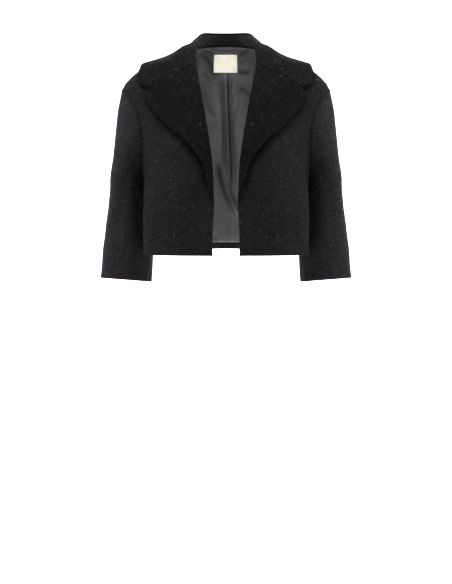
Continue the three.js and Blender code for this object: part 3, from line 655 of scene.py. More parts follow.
# The lining of the back, with its centre-back pleat and the fold that swings across its foot
lining = {
    "inset": 9,
    "hemStrip": 13.5,
    "gap": 1.4,
    "wall": 1.0,
    "pleat": {"x": 0, "slant": -0.04, "top": -32, "foot": -300, "width": 9, "depth": 5},
    "swag": {"x": -9, "z": -226, "endX": 34, "endZ": -352, "width": 8, "depth": 6},
    "folds": [
        ([(-46, 90, -52), (-38, 92, -84), (-26, 96, -118), (-16, 98, -150), (-10, 99, -196)], 6, 1.4),
        ([(-58, 88, -60), (-50, 92, -96), (-40, 96, -132), (-28, 98, -170)], 6, -1.1),
        ([(-30, 90, -46), (-24, 92, -72), (-12, 95, -104)], 5, -1.0),
        ([(52, 88, -54), (36, 92, -78), (22, 96, -110), (12, 98, -152)], 7, 1.2),
        ([(60, 88, -84), (44, 94, -112), (26, 98, -150)], 6, -1.1),
        ([(34, 90, -48), (28, 92, -66), (14, 94, -88)], 5, 1.4),
        ([(-34, 96, -352), (-22, 96, -378), (-6, 95, -402)], 7, 1.6),
        ([(-30, 96, -392), (-24, 96, -404), (-22, 95, -412)], 4, 1.2),
        ([(24, 96, -346), (16, 97, -372), (10, 95, -404)], 9, 1.6),
        ([(-96, 92, -120), (-84, 96, -210), (-88, 94, -330)], 14, 2.4),
        ([(88, 94, -140), (94, 94, -240), (86, 92, -350)], 14, 2.4),
        ([(-60, 96, -220), (-56, 96, -300), (-62, 94, -380)], 11, 1.8),
        ([(58, 97, -180), (62, 96, -280), (56, 94, -380)], 11, 1.8),
    ],
    # Lines of painted crease shadow on the lining
    "creaseShadows": [  # seen from the front, so without depth
        ([(-64, 0, -5), (-48, 0, -8), (-36, 0, -18), (-28, 0, -36), (-10, 0, -54)], 8, 0.95),
        ([(-62, 0, 5), (-44, 0, 2), (-30, 0, -4), (-20, 0, -10)], 5, 0.7),
        ([(-52, 0, -36), (-42, 0, -48), (-30, 0, -64)], 2.6, 0.6),
        ([(-42, 0, -106), (-32, 0, -122), (-18, 0, -138)], 2.6, 0.5),
        ([(-40, 0, 16), (-14, 0, 6), (14, 0, 6), (26, 0, 12)], 4, 0.55),
        ([(24, 0, -8), (40, 0, 0), (60, 0, 14)], 7, 0.85),
        ([(24, 0, -20), (36, 0, -17), (52, 0, -8)], 4, 0.6),
        ([(22, 0, -34), (38, 0, -41), (56, 0, -38)], 4.5, 0.8),
        ([(22, 0, -78), (36, 0, -76), (46, 0, -84), (58, 0, -88)], 4.5, 0.8),
        ([(12, 0, -70), (28, 0, -82), (40, 0, -98)], 2.4, 0.4),
        ([(-26, 0, -386), (-20, 0, -398), (-17, 0, -408)], 2.5, 0.7),
    ],
}


# How far beyond the pleat and beyond the fold across the foot, and how fully that fold stands
def liningLines(x, z):
    pleat, swag = lining["pleat"], lining["swag"]
    share = np.clip((swag["z"] - z) / (swag["z"] - swag["endZ"]), 0, 1)
    fromPleat = x - (pleat["x"] + pleat["slant"] * (z - pleat["top"]))
    fromSwag = x - mixed(swag["x"], swag["endX"], share**2)
    return fromPleat, fromSwag, ease((swag["z"] - z) / 30) * ease((z - swag["endZ"]) / 25)


def liningRelief(p):
    pleat, swag = lining["pleat"], lining["swag"]
    x, z = p[..., 0], p[..., 2]
    fromPleat, fromSwag, ends = liningLines(x, z)
    inPleat = ease((pleat["top"] - z) / 30) * ease((z - pleat["foot"]) / 40)
    ridge = np.exp(-((fromPleat / pleat["width"]) ** 2)) * pleat["depth"] * inPleat
    shoulder = 3.5 * ease((np.abs(x) - 150) / 50) * ease((z + 180) / 60)
    tuck = ease((fromPleat + 17) / 15) * (1 - ease(fromPleat / 2.5)) * 4.2 * inPleat
    under = np.exp(-(((fromSwag - 10) / 4) ** 2)) * -1.2 * ends
    small = foldHeights(p, lining["folds"]) + 0.5 * ripple(p, 19, 2.3)
    across = np.exp(-((fromSwag / swag["width"]) ** 2)) * swag["depth"] * ends
    loose = ridge + tuck + under + small + across
    return np.maximum(shoulder + loose * ease((z + 417) / 12), -1.1)


# Painted shade where the lining is creased: beside its pleat, under the fold across it, and in its wrinkles
def liningShade(p):
    pleat = lining["pleat"]
    x, z = p[..., 0], p[..., 2]
    fromPleat, fromSwag, ends = liningLines(x, z)
    inPleat = ease((pleat["top"] - z) / 6) * ease((z - pleat["foot"]) / 60)
    shade = np.exp(-(((fromPleat - 2) / 2.4) ** 2)) * inPleat * 1.15
    shade = np.maximum(shade, np.exp(-(((fromSwag + 7) / 4.5) ** 2)) * ends)
    for path, width, strength in lining["creaseShadows"]:
        away, along = stretchTo(p * [1, 0, 1], np.array(path, float))
        creaseShade = strength * np.exp(-((away / width) ** 2)) * ease(along / 0.3) * ease((1 - along) / 0.3)
        shade = np.maximum(shade, creaseShade)
    return shade


def makeLining():
    half = []
    for row in np.linspace(0, lastRow, 131):
        rise = lining["hemStrip"] * max(0, 1 - row / armpitRow)
        drop = 2 * float(np.clip(row - lastRow + 1, 0, 1))
        half.append(backRow(row, 110, rise, drop, lining["inset"]))
    grid = bothSides(np.array(half))
    deep = body["wall"] + lining["gap"] + lining["wall"] / 2 + liningRelief(grid)
    deep = deep + np.maximum(0, -panelHeight(grid, 0.4))
    return grid - bodyNear(grid)[0] * deep[..., None]


label = {"width": 51, "height": 37.5, "top": -2, "middle": -1, "wall": 0.8, "lift": 0.4}


def makeLabel():
    z, x = np.meshgrid(label["top"] - np.linspace(0, label["height"], 25),
                       label["middle"] + label["width"] * np.linspace(-0.5, 0.5, 33), indexing="ij")
    half, side, front, back, powerF, powerB = sectionAt(z)
    y = side + (back - side) * (1 - (np.abs(x) / half) ** powerB) ** (1 / powerB)
    p = np.stack([x, y, z], -1)
    deep = body["wall"] + lining["gap"] + lining["wall"] + body["seam"] + label["lift"] + label["wall"] / 2
    return p - bodyNear(p)[0] * deep


# A shader socket that can be reckoned with
class Field:
    def __init__(self, tree, socket):
        self.tree = tree
        self.socket = socket

    def make(self, kind, settings=None, inputs=None, out=0):
        node = self.tree.nodes.new(kind)
        for name, value in (settings or {}).items():
            setattr(node, name, value)
        for key, value in (inputs or {}).items():
            if isinstance(value, Field):
                self.tree.links.new(value.socket, node.inputs[key])
            else:
                node.inputs[key].default_value = value
        return Field(self.tree, node.outputs[out])

    def maths(self, operation, first, second=0.0, third=0.0):
        return self.make("ShaderNodeMath", {"operation": operation}, {0: first, 1: second, 2: third})

    def __add__(self, other):
        return self.maths("ADD", self, other)

    def __radd__(self, other):
        return self.maths("ADD", other, self)

    def __sub__(self, other):
        return self.maths("SUBTRACT", self, other)

    def __mul__(self, other):
        return self.maths("MULTIPLY", self, other)

    def sine(self):
        return self.maths("SINE", self)

    def cosine(self):
        return self.maths("COSINE", self)

    def most(self, other):
        return self.maths("MAXIMUM", self, other)

    # 0 below low and 1 above high, smoothly; the other way round where high is the lower
    def rise(self, low, high):
        return self.make("ShaderNodeMapRange", {"interpolation_type": "SMOOTHSTEP"},
                         {"Value": self, "From Min": low, "From Max": high})

    # This field's mix of two numbers or fields
    def between(self, first, second):
        return self.make("ShaderNodeMix", {"data_type": "FLOAT"}, {0: self, 2: first, 3: second})

    def colours(self, first, second):
        return self.make("ShaderNodeMix", {"data_type": "RGBA"}, {0: self, 6: first, 7: second}, 2)

    def vector(self, operation, other, scale=None):
        inputs = {0: self, 1: other} if scale is None else {0: self, "Scale": scale}
        return self.make("ShaderNodeVectorMath", {"operation": operation}, inputs)

    # How much painted shade the cloth gets, under edges and in creases
    def pressed(self):
        return self.make("ShaderNodeAttribute", {"attribute_name": "pressed"}, None, 2)

    def part(self, name):
        return self.make("ShaderNodeSeparateXYZ", None, {0: self}, name)

    def noise(self, scale, detail=2.0, rough=0.5, out=0):
        return self.make("ShaderNodeTexNoise", {"noise_dimensions": "2D"},
                         {"Vector": self, "Scale": scale, "Detail": detail, "Roughness": rough}, out)

    # Cells of about 1 / scale: the way out from a cell's middle, its turn, and its own numbers
    def cells(self, scale, randomness):
        scaled = self.vector("SCALE", None, scale)
        node = self.make("ShaderNodeTexVoronoi", {"voronoi_dimensions": "2D", "feature": "F1"},
                         {"Vector": scaled, "Scale": 1.0, "Randomness": randomness}, "Position")
        voronoi = node.socket.node
        way = scaled.vector("SUBTRACT", node)
        turn = self.maths("ARCTAN2", way.part("Y"), way.part("X"))
        own = Field(self.tree, voronoi.outputs["Color"])
        return Field(self.tree, voronoi.outputs["Distance"]), turn, own


def newMaterial(name, constants):
    material = bpy.data.materials.new(name)
    material.use_nodes = True
    tree = material.node_tree
    shader = tree.nodes["Principled BSDF"]
    for key, value in constants.items():
        shader.inputs[key].default_value = value
    uv = tree.nodes.new("ShaderNodeUVMap")
    uv.uv_map = "cloth"
    return material, Field(tree, uv.outputs[0]), shader


def connect(shader, field, key):
    field.tree.links.new(field.socket, shader.inputs[key])


def bumpInto(shader, height, distance):
    bump = height.make("ShaderNodeBump", None, {"Height": height, "Distance": distance, "Strength": 1.0})
    connect(shader, bump, "Normal")


jacquard = {
    "curl": 1 / 0.0135,  # curls to a metre
    "rosette": 1 / 0.047,
    "ground": (0.0026, 0.0023, 0.0027, 1),
    "figure": (0.0056, 0.0050, 0.0059, 1),
    # A darker copy for the lapels and collar leaf: painted shade
    "shadedTurnedGround": (0.0011, 0.0010, 0.0010, 1),
    "shadedTurnedFigure": (0.0026, 0.0023, 0.0024, 1),
    # A lighter copy for the sleeves: painted light
    "litSleeveGround": (0.0038, 0.0034, 0.0040, 1),
    "litSleeveFigure": (0.0080, 0.0073, 0.0085, 1),
    # A lighter copy for the inside of the back and the collar stand: painted light
    "litInnerGround": (0.0070, 0.0064, 0.0072, 1),
    "litInnerFigure": (0.0120, 0.0112, 0.0124, 1),
    # Painted shade: the colour the cloth darkens towards close under an edge
    "pressed": (0.0005, 0.0004, 0.0005, 1),  # in the shade close under an edge
    "speck": (0.0155, 0.0146, 0.0158, 1),
    "relief": 0.00085,
    "specular": 0.022,
    "sheen": 0.004,
}


# Scrolls and rosettes woven tone on tone, a little raised and smoother than their ground, with painted shade
# mixed into the colour under edges
def makeJacquard(name, ground, scroll):
    material, uv, shader = newMaterial(name, {
        "Specular IOR Level": jacquard["specular"],
        "Sheen Weight": jacquard["sheen"],
        "Sheen Roughness": 0.5,
        "Sheen Tint": (0.9, 0.88, 0.92, 1),
    })
    bent = uv.noise(48, 1.0, 0.5, "Color").vector("SUBTRACT", (0.5, 0.5, 0.5)).vector("SCALE", None, 0.015)
    place = uv.vector("ADD", bent)
    away, turn, own = place.cells(jacquard["curl"], 0.9)
    hand = (own.part("X") - 0.5).maths("SIGN", own.part("X") - 0.5)
    wound = (turn * hand + away * 15.0 + own.part("Y") * 6.28).sine()
    curls = wound.rise(-0.35, 0.45)
    away, turn, own = place.cells(jacquard["rosette"], 0.75)
    lobes = (turn * 6.0 + own.part("Y") * 6.28).cosine()
    outline = 0.17 + lobes * 0.035 - away
    inside = outline.rise(-0.012, 0.012)
    petals = ((away * 62.0 + lobes * 1.1).sine()).rise(-0.3, 0.4)
    leaves = ((turn * 3.0 + away * 22.0 + own.part("Z") * 6.28).sine()).rise(0.1, 0.75)
    ringed = (away.rise(0.2, 0.23)) * (away.rise(0.36, 0.31))
    figure = inside.between(ringed.between(curls, curls.most(leaves)), petals)
    slow = place.noise(9.0, 2.0)
    fine = place.noise(900.0, 2.0, 0.6)
    specks = place.noise(120.0, 2.0, 0.6).rise(0.665, 0.74) * slow.rise(0.46, 0.62)
    shade = (slow - 0.5) * 0.5 + (fine - 0.5) * 0.7
    tone = (figure * 0.85 + shade).rise(-0.15, 1.1)
    base = specks.colours(tone.colours(ground, scroll), jacquard["speck"])
    # Painted shade: the base colour darkens where the point attribute of painted shade is set
    connect(shader, (uv.pressed() * 0.85).colours(base, jacquard["pressed"]), "Base Color")
    connect(shader, figure.between(0.9, 0.62) - specks * 0.1, "Roughness")
    bumpInto(shader, figure * 0.8 + fine * 0.22 + place.noise(210.0, 2.0) * 0.4, jacquard["relief"])
    return material


satin = {
    "base": (0.0485, 0.048, 0.0497, 1),
    "deep": (0.0385, 0.038, 0.0397, 1),
    # painted shade of the lining's creases
    "creaseShade": (0.003, 0.003, 0.0033, 1),
    "specular": 0.42,
}


# Lining satin: a close twill with soft gloss and small puckers, and painted shade in its creases
def makeSatin():
    material, uv, shader = newMaterial("satin", {
        "Specular IOR Level": satin["specular"],
        "Anisotropic": 0.35,
    })
    slow = uv.noise(16.0, 2.0)
    thread = uv.vector("MULTIPLY", (2600.0, 420.0, 1.0)).noise(1.0, 1.0)
    pressed = uv.pressed()
    base = (slow * 0.6 + thread * 0.4).rise(0.3, 0.7).colours(satin["deep"], satin["base"])
    # Painted shade: the satin darkens towards the crease shade colour where the attribute is set, and grows
    # rougher there
    connect(shader, (pressed * 0.95).colours(base, satin["creaseShade"]), "Base Color")
    connect(shader, slow.between(0.3, 0.38) + thread * 0.06 + pressed * 0.3, "Roughness")
    pucker = uv.vector("MULTIPLY", (60.0, 22.0, 1.0)).noise(1.0, 2.0, 0.4)
    bumpInto(shader, pucker * 0.9 + thread * 0.04, 0.0016)
    return material


tape = {"deep": (0.80, 0.76, 0.645, 1), "face": (0.88, 0.85, 0.745, 1), "warp": 0.0009, "weft": 0.0007}


# The label's bare woven face: a fine basket of warp and weft
def makeTape():
    material, uv, shader = newMaterial("label tape", {"Specular IOR Level": 0.3, "Sheen Weight": 0.1})
    across = (uv.part("X") * (2 * math.pi / tape["warp"])).sine()
    down = (uv.part("Y") * (2 * math.pi / tape["weft"])).sine()
    weave = across * down
    worn = uv.noise(90.0, 3.0)
    tone = (weave * 0.25 + worn).rise(0.2, 0.9)
    connect(shader, tone.colours(tape["deep"], tape["face"]), "Base Color")
    connect(shader, worn.between(0.6, 0.78), "Roughness")
    bumpInto(shader, weave * 0.5 + worn * 0.6, 0.0003)
    return material


def makeThread():
    material, uv, shader = newMaterial("label thread", {"Specular IOR Level": 0.4})
    place = uv.make("ShaderNodeTexCoord", None, None, "Object")
    twist = place.make("ShaderNodeTexWave", {"bands_direction": "DIAGONAL"},
                       {"Vector": place, "Scale": 900.0, "Distortion": 0.5}, 1)
    connect(shader, twist.colours((0.7, 0.67, 0.58, 1), (0.86, 0.83, 0.74, 1)), "Base Color")
    connect(shader, twist.between(0.5, 0.62), "Roughness")
    return material


jacquardCloth = makeJacquard("jacquard", jacquard["ground"], jacquard["figure"])
# Shaded and lit copies of the same jacquard: painted shade on the lapels and collar leaf, painted light on the
# sleeves and the inside
shadedTurnedCloth = makeJacquard("jacquard turned shaded", jacquard["shadedTurnedGround"], jacquard["shadedTurnedFigure"])
litSleeveCloth = makeJacquard("jacquard sleeve lit", jacquard["litSleeveGround"], jacquard["litSleeveFigure"])
litInsideCloth = makeJacquard("jacquard inside lit", jacquard["litInnerGround"], jacquard["litInnerFigure"])
satinCloth = makeSatin()
tapeCloth = makeTape()
threadCloth = makeThread()
print("materials made")


# Length along each row (axis 1) or column (axis 0) from its start, in millimetres
def arcLengths(grid, axis):
    gaps = np.linalg.norm(np.diff(grid, axis=axis), axis=-1)
    start = np.zeros_like(gaps[:, :1] if axis == 1 else gaps[:1])
    return np.concatenate([start, np.cumsum(gaps, axis=axis)], axis)


def closedUp(grid, closed):
    return np.concatenate([grid, grid[:, :1]], 1) if closed else grid


laying = {"rounds": 1500, "pull": 0.22}  # how often each tie is pulled to its length, and by what share


# Lays the cloth flat: a plan whose points keep their distances along the cloth, in metres
def flatCut(grid, closed, coarse):
    wide = closedUp(grid, closed)
    rows = np.arange(0, wide.shape[0], coarse[0])
    columns = np.arange(0, wide.shape[1], coarse[1])
    net = wide[rows][:, columns] * mm
    across = np.linalg.norm(np.diff(net, axis=1), axis=-1)
    down = np.linalg.norm(np.diff(net, axis=0), axis=-1)
    u = np.pad(np.cumsum(across, 1), ((0, 0), (1, 0)))
    v = np.pad(np.cumsum(down, 0), ((1, 0), (0, 0)))
    middle = len(columns) // 2
    plan = np.stack([u - u[:, middle : middle + 1], v[-1:] - v], -1)
    every, start, end = slice(None), slice(None, -1), slice(1, None)
    ties = [((every, start), (every, end)), ((start, every), (end, every)),
            ((start, start), (end, end)), ((start, end), (end, start))]
    lengths = [np.linalg.norm(net[b] - net[a], axis=-1) for a, b in ties]
    for _ in range(laying["rounds"]):
        for (a, b), length in zip(ties, lengths):
            way = plan[b] - plan[a]
            now = np.maximum(np.linalg.norm(way, axis=-1), 1e-9)
            move = way * (laying["pull"] * (1 - length / now))[..., None]
            plan[a] += move
            plan[b] -= move
    spread = np.empty(wide.shape[:2] + (2,))
    for k in range(2):
        part = np.array([np.interp(np.arange(wide.shape[1]), columns, row) for row in plan[..., k]])
        spread[..., k] = np.array([np.interp(np.arange(wide.shape[0]), rows, c) for c in part.T]).T
    return spread


# The cloth's area in square metres, from the cells in use
def flatArea(grid, closed, used):
    wide = closedUp(grid, closed)
    a, b, c, d = wide[:-1, :-1], wide[:-1, 1:], wide[1:, 1:], wide[1:, :-1]
    area = np.linalg.norm(np.cross(c - a, d - b), axis=-1) / 2
    return float((area * used).sum()) * mm * mm


def cellSpots(i, j):
    return (i, j), (i, j + 1), (i + 1, j + 1), (i + 1, j)


# The way out of the cloth at each point of its edge, and each edge with the cell beside it
def findEdges(grid, used, closed):
    rows, columns = grid.shape[:2]
    side = np.zeros_like(grid)
    edges = []
    for i, j in zip(*np.nonzero(used)):
        k = (j + 1) % columns
        corners = ((i, j), (i, k), (i + 1, k), (i + 1, j))
        for number, (di, dj) in enumerate(((-1, 0), (0, 1), (1, 0), (0, -1))):
            ni, nj = i + di, j + dj
            if closed:
                nj %= columns
            if 0 <= ni < rows - 1 and 0 <= nj < used.shape[1] and used[ni, nj]:
                continue
            first, second = corners[number], corners[(number + 1) % 4]
            opposite = (corners[(number + 3) % 4], corners[(number + 2) % 4])
            edges.append((first, second, (i, j), number))
            run = grid[second] - grid[first]
            run = run / max(np.linalg.norm(run), 1e-9)
            for here, across in ((first, opposite[0]), (second, opposite[1])):
                way = grid[here] - grid[across]
                way = way - run * (way @ run)
                side[here] += way / max(np.linalg.norm(way), 1e-9)
    return side / np.maximum(np.linalg.norm(side, axis=-1, keepdims=True), 1e-9), edges


# A closed shell of cloth, with rounded edges, about a grid of points in millimetres:
# walls are its thickness outward and inward, and inside gives each cell's cloth on the inside; a point
# attribute keeps the painted shade given, from 0 to 1
def clothPiece(name, node, grid, walls, mirror=False, closed=False, used=None, normals=None,
               coarse=(6, 4), rim=0.8, cloths=None, inside=None, pressed=None):
    outward, inward = walls
    rows, columns = grid.shape[:2]
    if used is None:
        used = np.ones((rows - 1, columns if closed else columns - 1), bool)
    if normals is None:
        normals = gridNormals(grid, closed)
    plan = flatCut(grid, closed, coarse)
    u, v = plan[..., 0], plan[..., 1]
    area = flatArea(grid, closed, used)
    side, edges = findEdges(grid, used, closed)
    middle = grid + normals * (outward - inward) / 2
    half = (outward + inward) / 2
    turns = (0, math.pi / 4, math.pi / 2, 3 * math.pi / 4, math.pi)
    points = [middle + normals * half * math.cos(turn) - side * rim * (1 - math.sin(turn)) for turn in turns]
    cloud = (np.array(points).reshape(-1, 3) * [-1 if mirror else 1, 1, 1] * mm).tolist()
    layer, last = rows * columns, len(turns) - 1
    faces, uvs, slots = [], [], []

    def add(corners, spots, index):
        if mirror:
            corners, spots = corners[::-1], spots[::-1]
        faces.append(corners)
        uvs.extend([(u[spot], v[spot]) for spot in spots])
        slots.append(index)

    for i, j in zip(*np.nonzero(used)):
        k = (j + 1) % columns
        corners = [i * columns + j, i * columns + k, (i + 1) * columns + k, (i + 1) * columns + j]
        add(corners, cellSpots(i, j), 0)
        within = 0 if inside is None else int(inside[i, j])
        add([c + last * layer for c in corners[::-1]], cellSpots(i, j)[::-1], within)
    for first, second, (i, j), number in edges:
        a, b = (p[0] * columns + p[1] for p in (first, second))
        spots = cellSpots(i, j)
        atA, atB = spots[number], spots[(number + 1) % 4]
        for k in range(0, last * layer, layer):
            add([b + k, a + k, a + k + layer, b + k + layer], (atB, atA, atA, atB), 0)

    mesh = bpy.data.meshes.new(name)
    keep = sorted({c for face in faces for c in face})
    number = {c: n for n, c in enumerate(keep)}
    mesh.from_pydata([cloud[c] for c in keep], [], [[number[c] for c in face] for face in faces])
    mesh.uv_layers.new(name="cloth").data.foreach_set("uv", np.array(uvs, np.float32).ravel())
    for material in cloths or [jacquardCloth]:
        mesh.materials.append(material)
    mesh.polygons.foreach_set("material_index", np.array(slots, np.int32))
    mesh.polygons.foreach_set("use_smooth", np.ones(len(faces), bool))
    # Painted shade per point, which the materials darken by
    if pressed is not None:
        shade = np.tile(np.clip(pressed, 0, 1).ravel(), len(turns))[keep]
        mesh.attributes.new("pressed", "FLOAT", "POINT").data.foreach_set("value", shade.astype(np.float32))
    mesh.validate()
    mesh.update()
    piece = bpy.data.objects.new(name, mesh)
    bpy.context.collection.objects.link(piece)
    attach(piece, "root")
    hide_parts(node)
    return piece


# How far the cloth of the body stands off its plain form, outward
def bodyDrape(points):
    left = onLeft(points)
    height = waveHeight(points) + foldHeights(left, folds["front"]) + foldHeights(left, folds["back"])
    return height * belowNeck(points)


# 1 where the turned-over cloth lies on the front, so that its folds stay out from under it
def underLapel(points):
    x = np.abs(points[..., 0])
    outline = np.array(lapelShape["edge"][::-1])
    edge = np.interp(points[..., 2], outline[:, 2], outline[:, 0])
    margin = lapelShape["margin"]
    near = ease((edge + margin - x) / margin) * ease((points[..., 2] - lapelShape["foot"]) / 20)
    return np.where(points[..., 1] < 8, near, 0)


def seamPress(distance, deep=0.7, width=2.6):
    return -deep * np.exp(-((distance / width) ** 2))


# The body's cloth sinks a little below the free edges that lie on it, and painted shade makes it darker there
lapelHem = np.array(lapelShape["edge"][:-1], float) + [3.5, 0, 0]
lapelHem = bodyPoint(lapelHem[:, 2], turnAtX(lapelHem[:, 2], lapelHem[:, 0]))
collarHem = layOnBody(np.array(collar["edge"], float), 0.0)
notchHem = [(146, -60, -93), (158, -58, -91), (170, -55, -86), (180, -52, -81)]
notchHem = layOnBody(np.array(notchHem, float), 0.0)
lapelTip = layOnBody(np.array([(150, -60, -96), (160, -58, -104), (168, -54, -109)], float), 0.0)
# Painted shade on the small ledge where the front edge steps in at the break
frontBreak = [(21, -112, -321), (31, -113, -319)]
underEdges = [(lapelHem, 8, -3.4), (collarHem, 7, -2.4), (notchHem, 7, -3.0)]
shades = [(lapelHem, 9, 0.9), (collarHem, 5, 0.7), (notchHem, 6, 1.1), (lapelTip, 6, 0.6),
          (frontBreak, 4, 1.0)]


# How deep the cloth lies in painted shade under the edges over it, from 0 to 1
def shadeUnder(grid):
    shade = np.zeros(grid.shape[:2])
    for path, width, strength in shades:
        away = stretchTo(onLeft(grid), path)[0]
        shade = np.maximum(shade, strength * np.exp(-((away / width) ** 2)))
    return shade


# How far a panel's cloth stands off the plain form, with a share of the hollows under free edges
def panelHeight(grid, hollow):
    plain = waveHeight(grid) * belowNeck(grid)
    return mixed(bodyDrape(grid), plain, underLapel(grid)) + hollow * foldHeights(onLeft(grid), underEdges)


# Small dips where a panel is sewn to its neighbours, also at its first column if start is set
def sewnDip(grid, start):
    u, v = arcLengths(grid, 1), arcLengths(grid, 0)
    dip = seamPress(v[-1:] - v) + seamPress(u[:, -1:] - u)
    return dip + seamPress(u) if start else dip


def drapedPanel(grid, hollow, start=False):
    out = bodyNear(grid)[0]
    form = grid + out * panelHeight(grid, hollow)[..., None]
    return form + out * sewnDip(grid, start)[..., None], out


def halves(wall):
    return wall / 2, wall / 2


sides = (("left", False), ("right", True))
fine = panel["fineRows"]
rowCount = lastRow * fine
frontCut = np.array([frontRow(r / fine, panel["columns"]) for r in range(rowCount + 1)])
frontForm, frontOut = drapedPanel(frontCut, 1.0)
fromEdge = arcLengths(frontCut, 1)[:-1, :-1]
fromHem = arcLengths(frontCut, 0)[:-1, :-1]
facing = {"width": 68, "sway": 10, "over": 60, "hem": 26}  # the jacquard's strip inside the fronts
facingEdge = facing["width"] + facing["sway"] * np.cos(fromHem / facing["over"])
frontInside = ((fromEdge > facingEdge) & (fromHem > facing["hem"])).astype(int)
for side, mirror in sides:
    clothPiece(f"front_{side}_cloth", f"front_{side}", frontForm, (0, body["wall"]),
               mirror=mirror, normals=frontOut, rim=0.75, cloths=[jacquardCloth, satinCloth],
               inside=frontInside, pressed=shadeUnder(frontCut))

backCut = bothSides(np.array([backRow(r / fine, panel["columns"]) for r in range(rowCount + 1)]))
backForm, backOut = drapedPanel(backCut, 0.4, start=True)
clothPiece("back_cloth", "back", backForm[:, ::-1], (0, body["wall"]),
           normals=backOut[:, ::-1], rim=0.75, coarse=(6, 8), pressed=shadeUnder(backCut)[:, ::-1] * 0.6,
           cloths=[jacquardCloth, litInsideCloth], inside=np.ones((rowCount, backCut.shape[1] - 1), int))
print("panels made")


# A direction, turned over where it points against another
def alike(way, like):
    return way * np.sign((way * like).sum(-1, keepdims=True))


# The share of the way from the roll to the free edge at each point across
def foldShares(count):
    return np.concatenate([np.zeros(steps + 1), np.arange(1, count + 1) / count])


steps = turned["rollSteps"]
lapelCut = drawIn(lapel)
lapelOut = gridNormals(lapelCut, False)
lapelOut[0] = alike(gorgeOut, lapelOut[0])
onFront = ease(foldShares(lapelShape["columns"]) / 0.25)[None, :, None]
lapelRise = (waveHeight(lapelCut) * belowNeck(lapelCut))[..., None]
fromGorge = ease(np.arange(lapelShape["rows"] + 1) / 8)[:, None, None]
lapelOwn = foldHeights(lapelCut, folds["lapel"])[..., None] * fromGorge
lapelForm = lapelCut + bodyNear(lapelCut)[0] * (lapelRise + lapelOwn * onFront)
for side, mirror in sides:
    clothPiece(f"lapel_{side}_cloth", f"lapel_{side}", lapelForm, halves(turned["wall"]),
               mirror=mirror, normals=lapelOut, coarse=(8, 4), rim=0.7, cloths=[shadedTurnedCloth])


def stepTowards(point, target):
    return point + (target - point) / np.linalg.norm(target - point) * sewnStep


collarCut = collarHalf.copy()
for k in range(steps + 1):
    collarCut[gorgeColumn, k] = stepTowards(collarHalf[gorgeColumn, k], collarHalf[gorgeColumn - 1, k])
for i in range(gorgeColumn + 1, collarColumns + 1):
    collarCut[i, steps] = stepTowards(collarHalf[i, steps], collarHalf[i, steps + 1])
collarOut = gridNormals(collarCut, False)
collarOut[gorgeColumn + 1 :, steps] = collarOut[gorgeColumn + 1 :, steps + 1]
for i in range(gorgeColumn):
    collarOut[i, 0] = alike(rollFrame(i / gorgeColumn)["square"], collarOut[i, 0])
collarOut[gorgeColumn, : steps + 1] = alike(gorgeOut[: steps + 1], collarOut[gorgeColumn, : steps + 1])
for i in range(gorgeColumn + 1, collarColumns + 1):
    at = (i - gorgeColumn) / collar["fine"] / 8 * lapelShape["columns"] + steps
    collarOut[i, steps] = alike(gorgeOut[min(int(round(at)), len(gorgeOut) - 1)], collarOut[i, steps])
collarShare = foldShares(collar["fallSteps"])
collarRise = (waveHeight(collarCut) * belowNeck(collarCut))[..., None]
collarFold = foldHeights(collarCut, folds["collar"])[..., None] * ease(collarShare / 0.3)[None, :, None]
collarLift = collarRise * ease(collarShare / 0.25)[None, :, None] + collarFold
collarForm = collarCut + bodyNear(collarCut)[0] * collarLift
collarUsed = np.ones((collarColumns, collarHalf.shape[1] - 1), bool)
collarUsed[gorgeColumn:, :steps] = False


# A half whose first row is the centre back, with its mirror image ahead of it
def aboutCentre(half):
    return np.concatenate([half[:0:-1] * [-1, 1, 1], half])


clothPiece("collar_leaf_cloth", "collar_leaf", aboutCentre(collarForm), halves(turned["wall"]),
           normals=aboutCentre(collarOut), used=np.concatenate([collarUsed[::-1], collarUsed]),
           rim=0.7, cloths=[shadedTurnedCloth])
print("collar made")

stand = {"columns": 9, "rows": 12, "footGap": 0.9, "topGap": 0.4}
standHalf, standOut = [], []
for i in range(stand["columns"] * collar["fine"] + 1):
    shape = rollFrame(i / gorgeColumn)
    base = shape["foot"] + shape["climb"] * (body["seam"] + stand["footGap"])
    top = shape["start"] - shape["climb"] * (body["seam"] + stand["topGap"])
    standHalf.append(mixed(base, top, np.linspace(0, 1, stand["rows"] + 1)[:, None]))
    standOut.append(shape["square"])
standHalf = np.array(standHalf)
standNormals = gridNormals(standHalf, False)
for i, square in enumerate(standOut):
    standNormals[i, -1] = alike(square, standNormals[i, -1])
clothPiece("collar_stand_cloth", "collar_stand", aboutCentre(standHalf), halves(turned["wall"]),
           normals=aboutCentre(standNormals), rim=0.6, cloths=[litInsideCloth])

sleeveGrid = makeSleeve()
sleeveOut = gridNormals(sleeveGrid, True)
fromSeam = arcLengths(sleeveGrid, 0)
own = ease(fromSeam / sleeve["ownFolds"])
sleeveWave = ripple(sleeveGrid, sleeve["wave"]["size"], sleeve["wave"]["seed"]) * sleeve["wave"]["height"]
sleeveHeight = (foldHeights(sleeveGrid, folds["sleeve"]) + sleeveWave) * own
puff = sleeve["puff"]
puffHeight = puff["height"] * np.exp(-(((fromSeam - puff["at"]) / puff["over"]) ** 2))
sleeveHeight = sleeveHeight + seamPress(fromSeam, *sleeve["seamDip"]) + puffHeight
bodyRise = bodyDrape(sleeveGrid) * (1 - own)
sleeveForm = sleeveGrid + sleeveOut * sleeveHeight[..., None] + bodyNear(sleeveGrid)[0] * bodyRise[..., None]
fromCuff = (fromSeam[-1:] - fromSeam)[:-1]
sleeveInside = ((fromCuff > sleeve["cuffStrip"]) & (fromSeam[:-1] > sleeve["headStrip"])).astype(int)
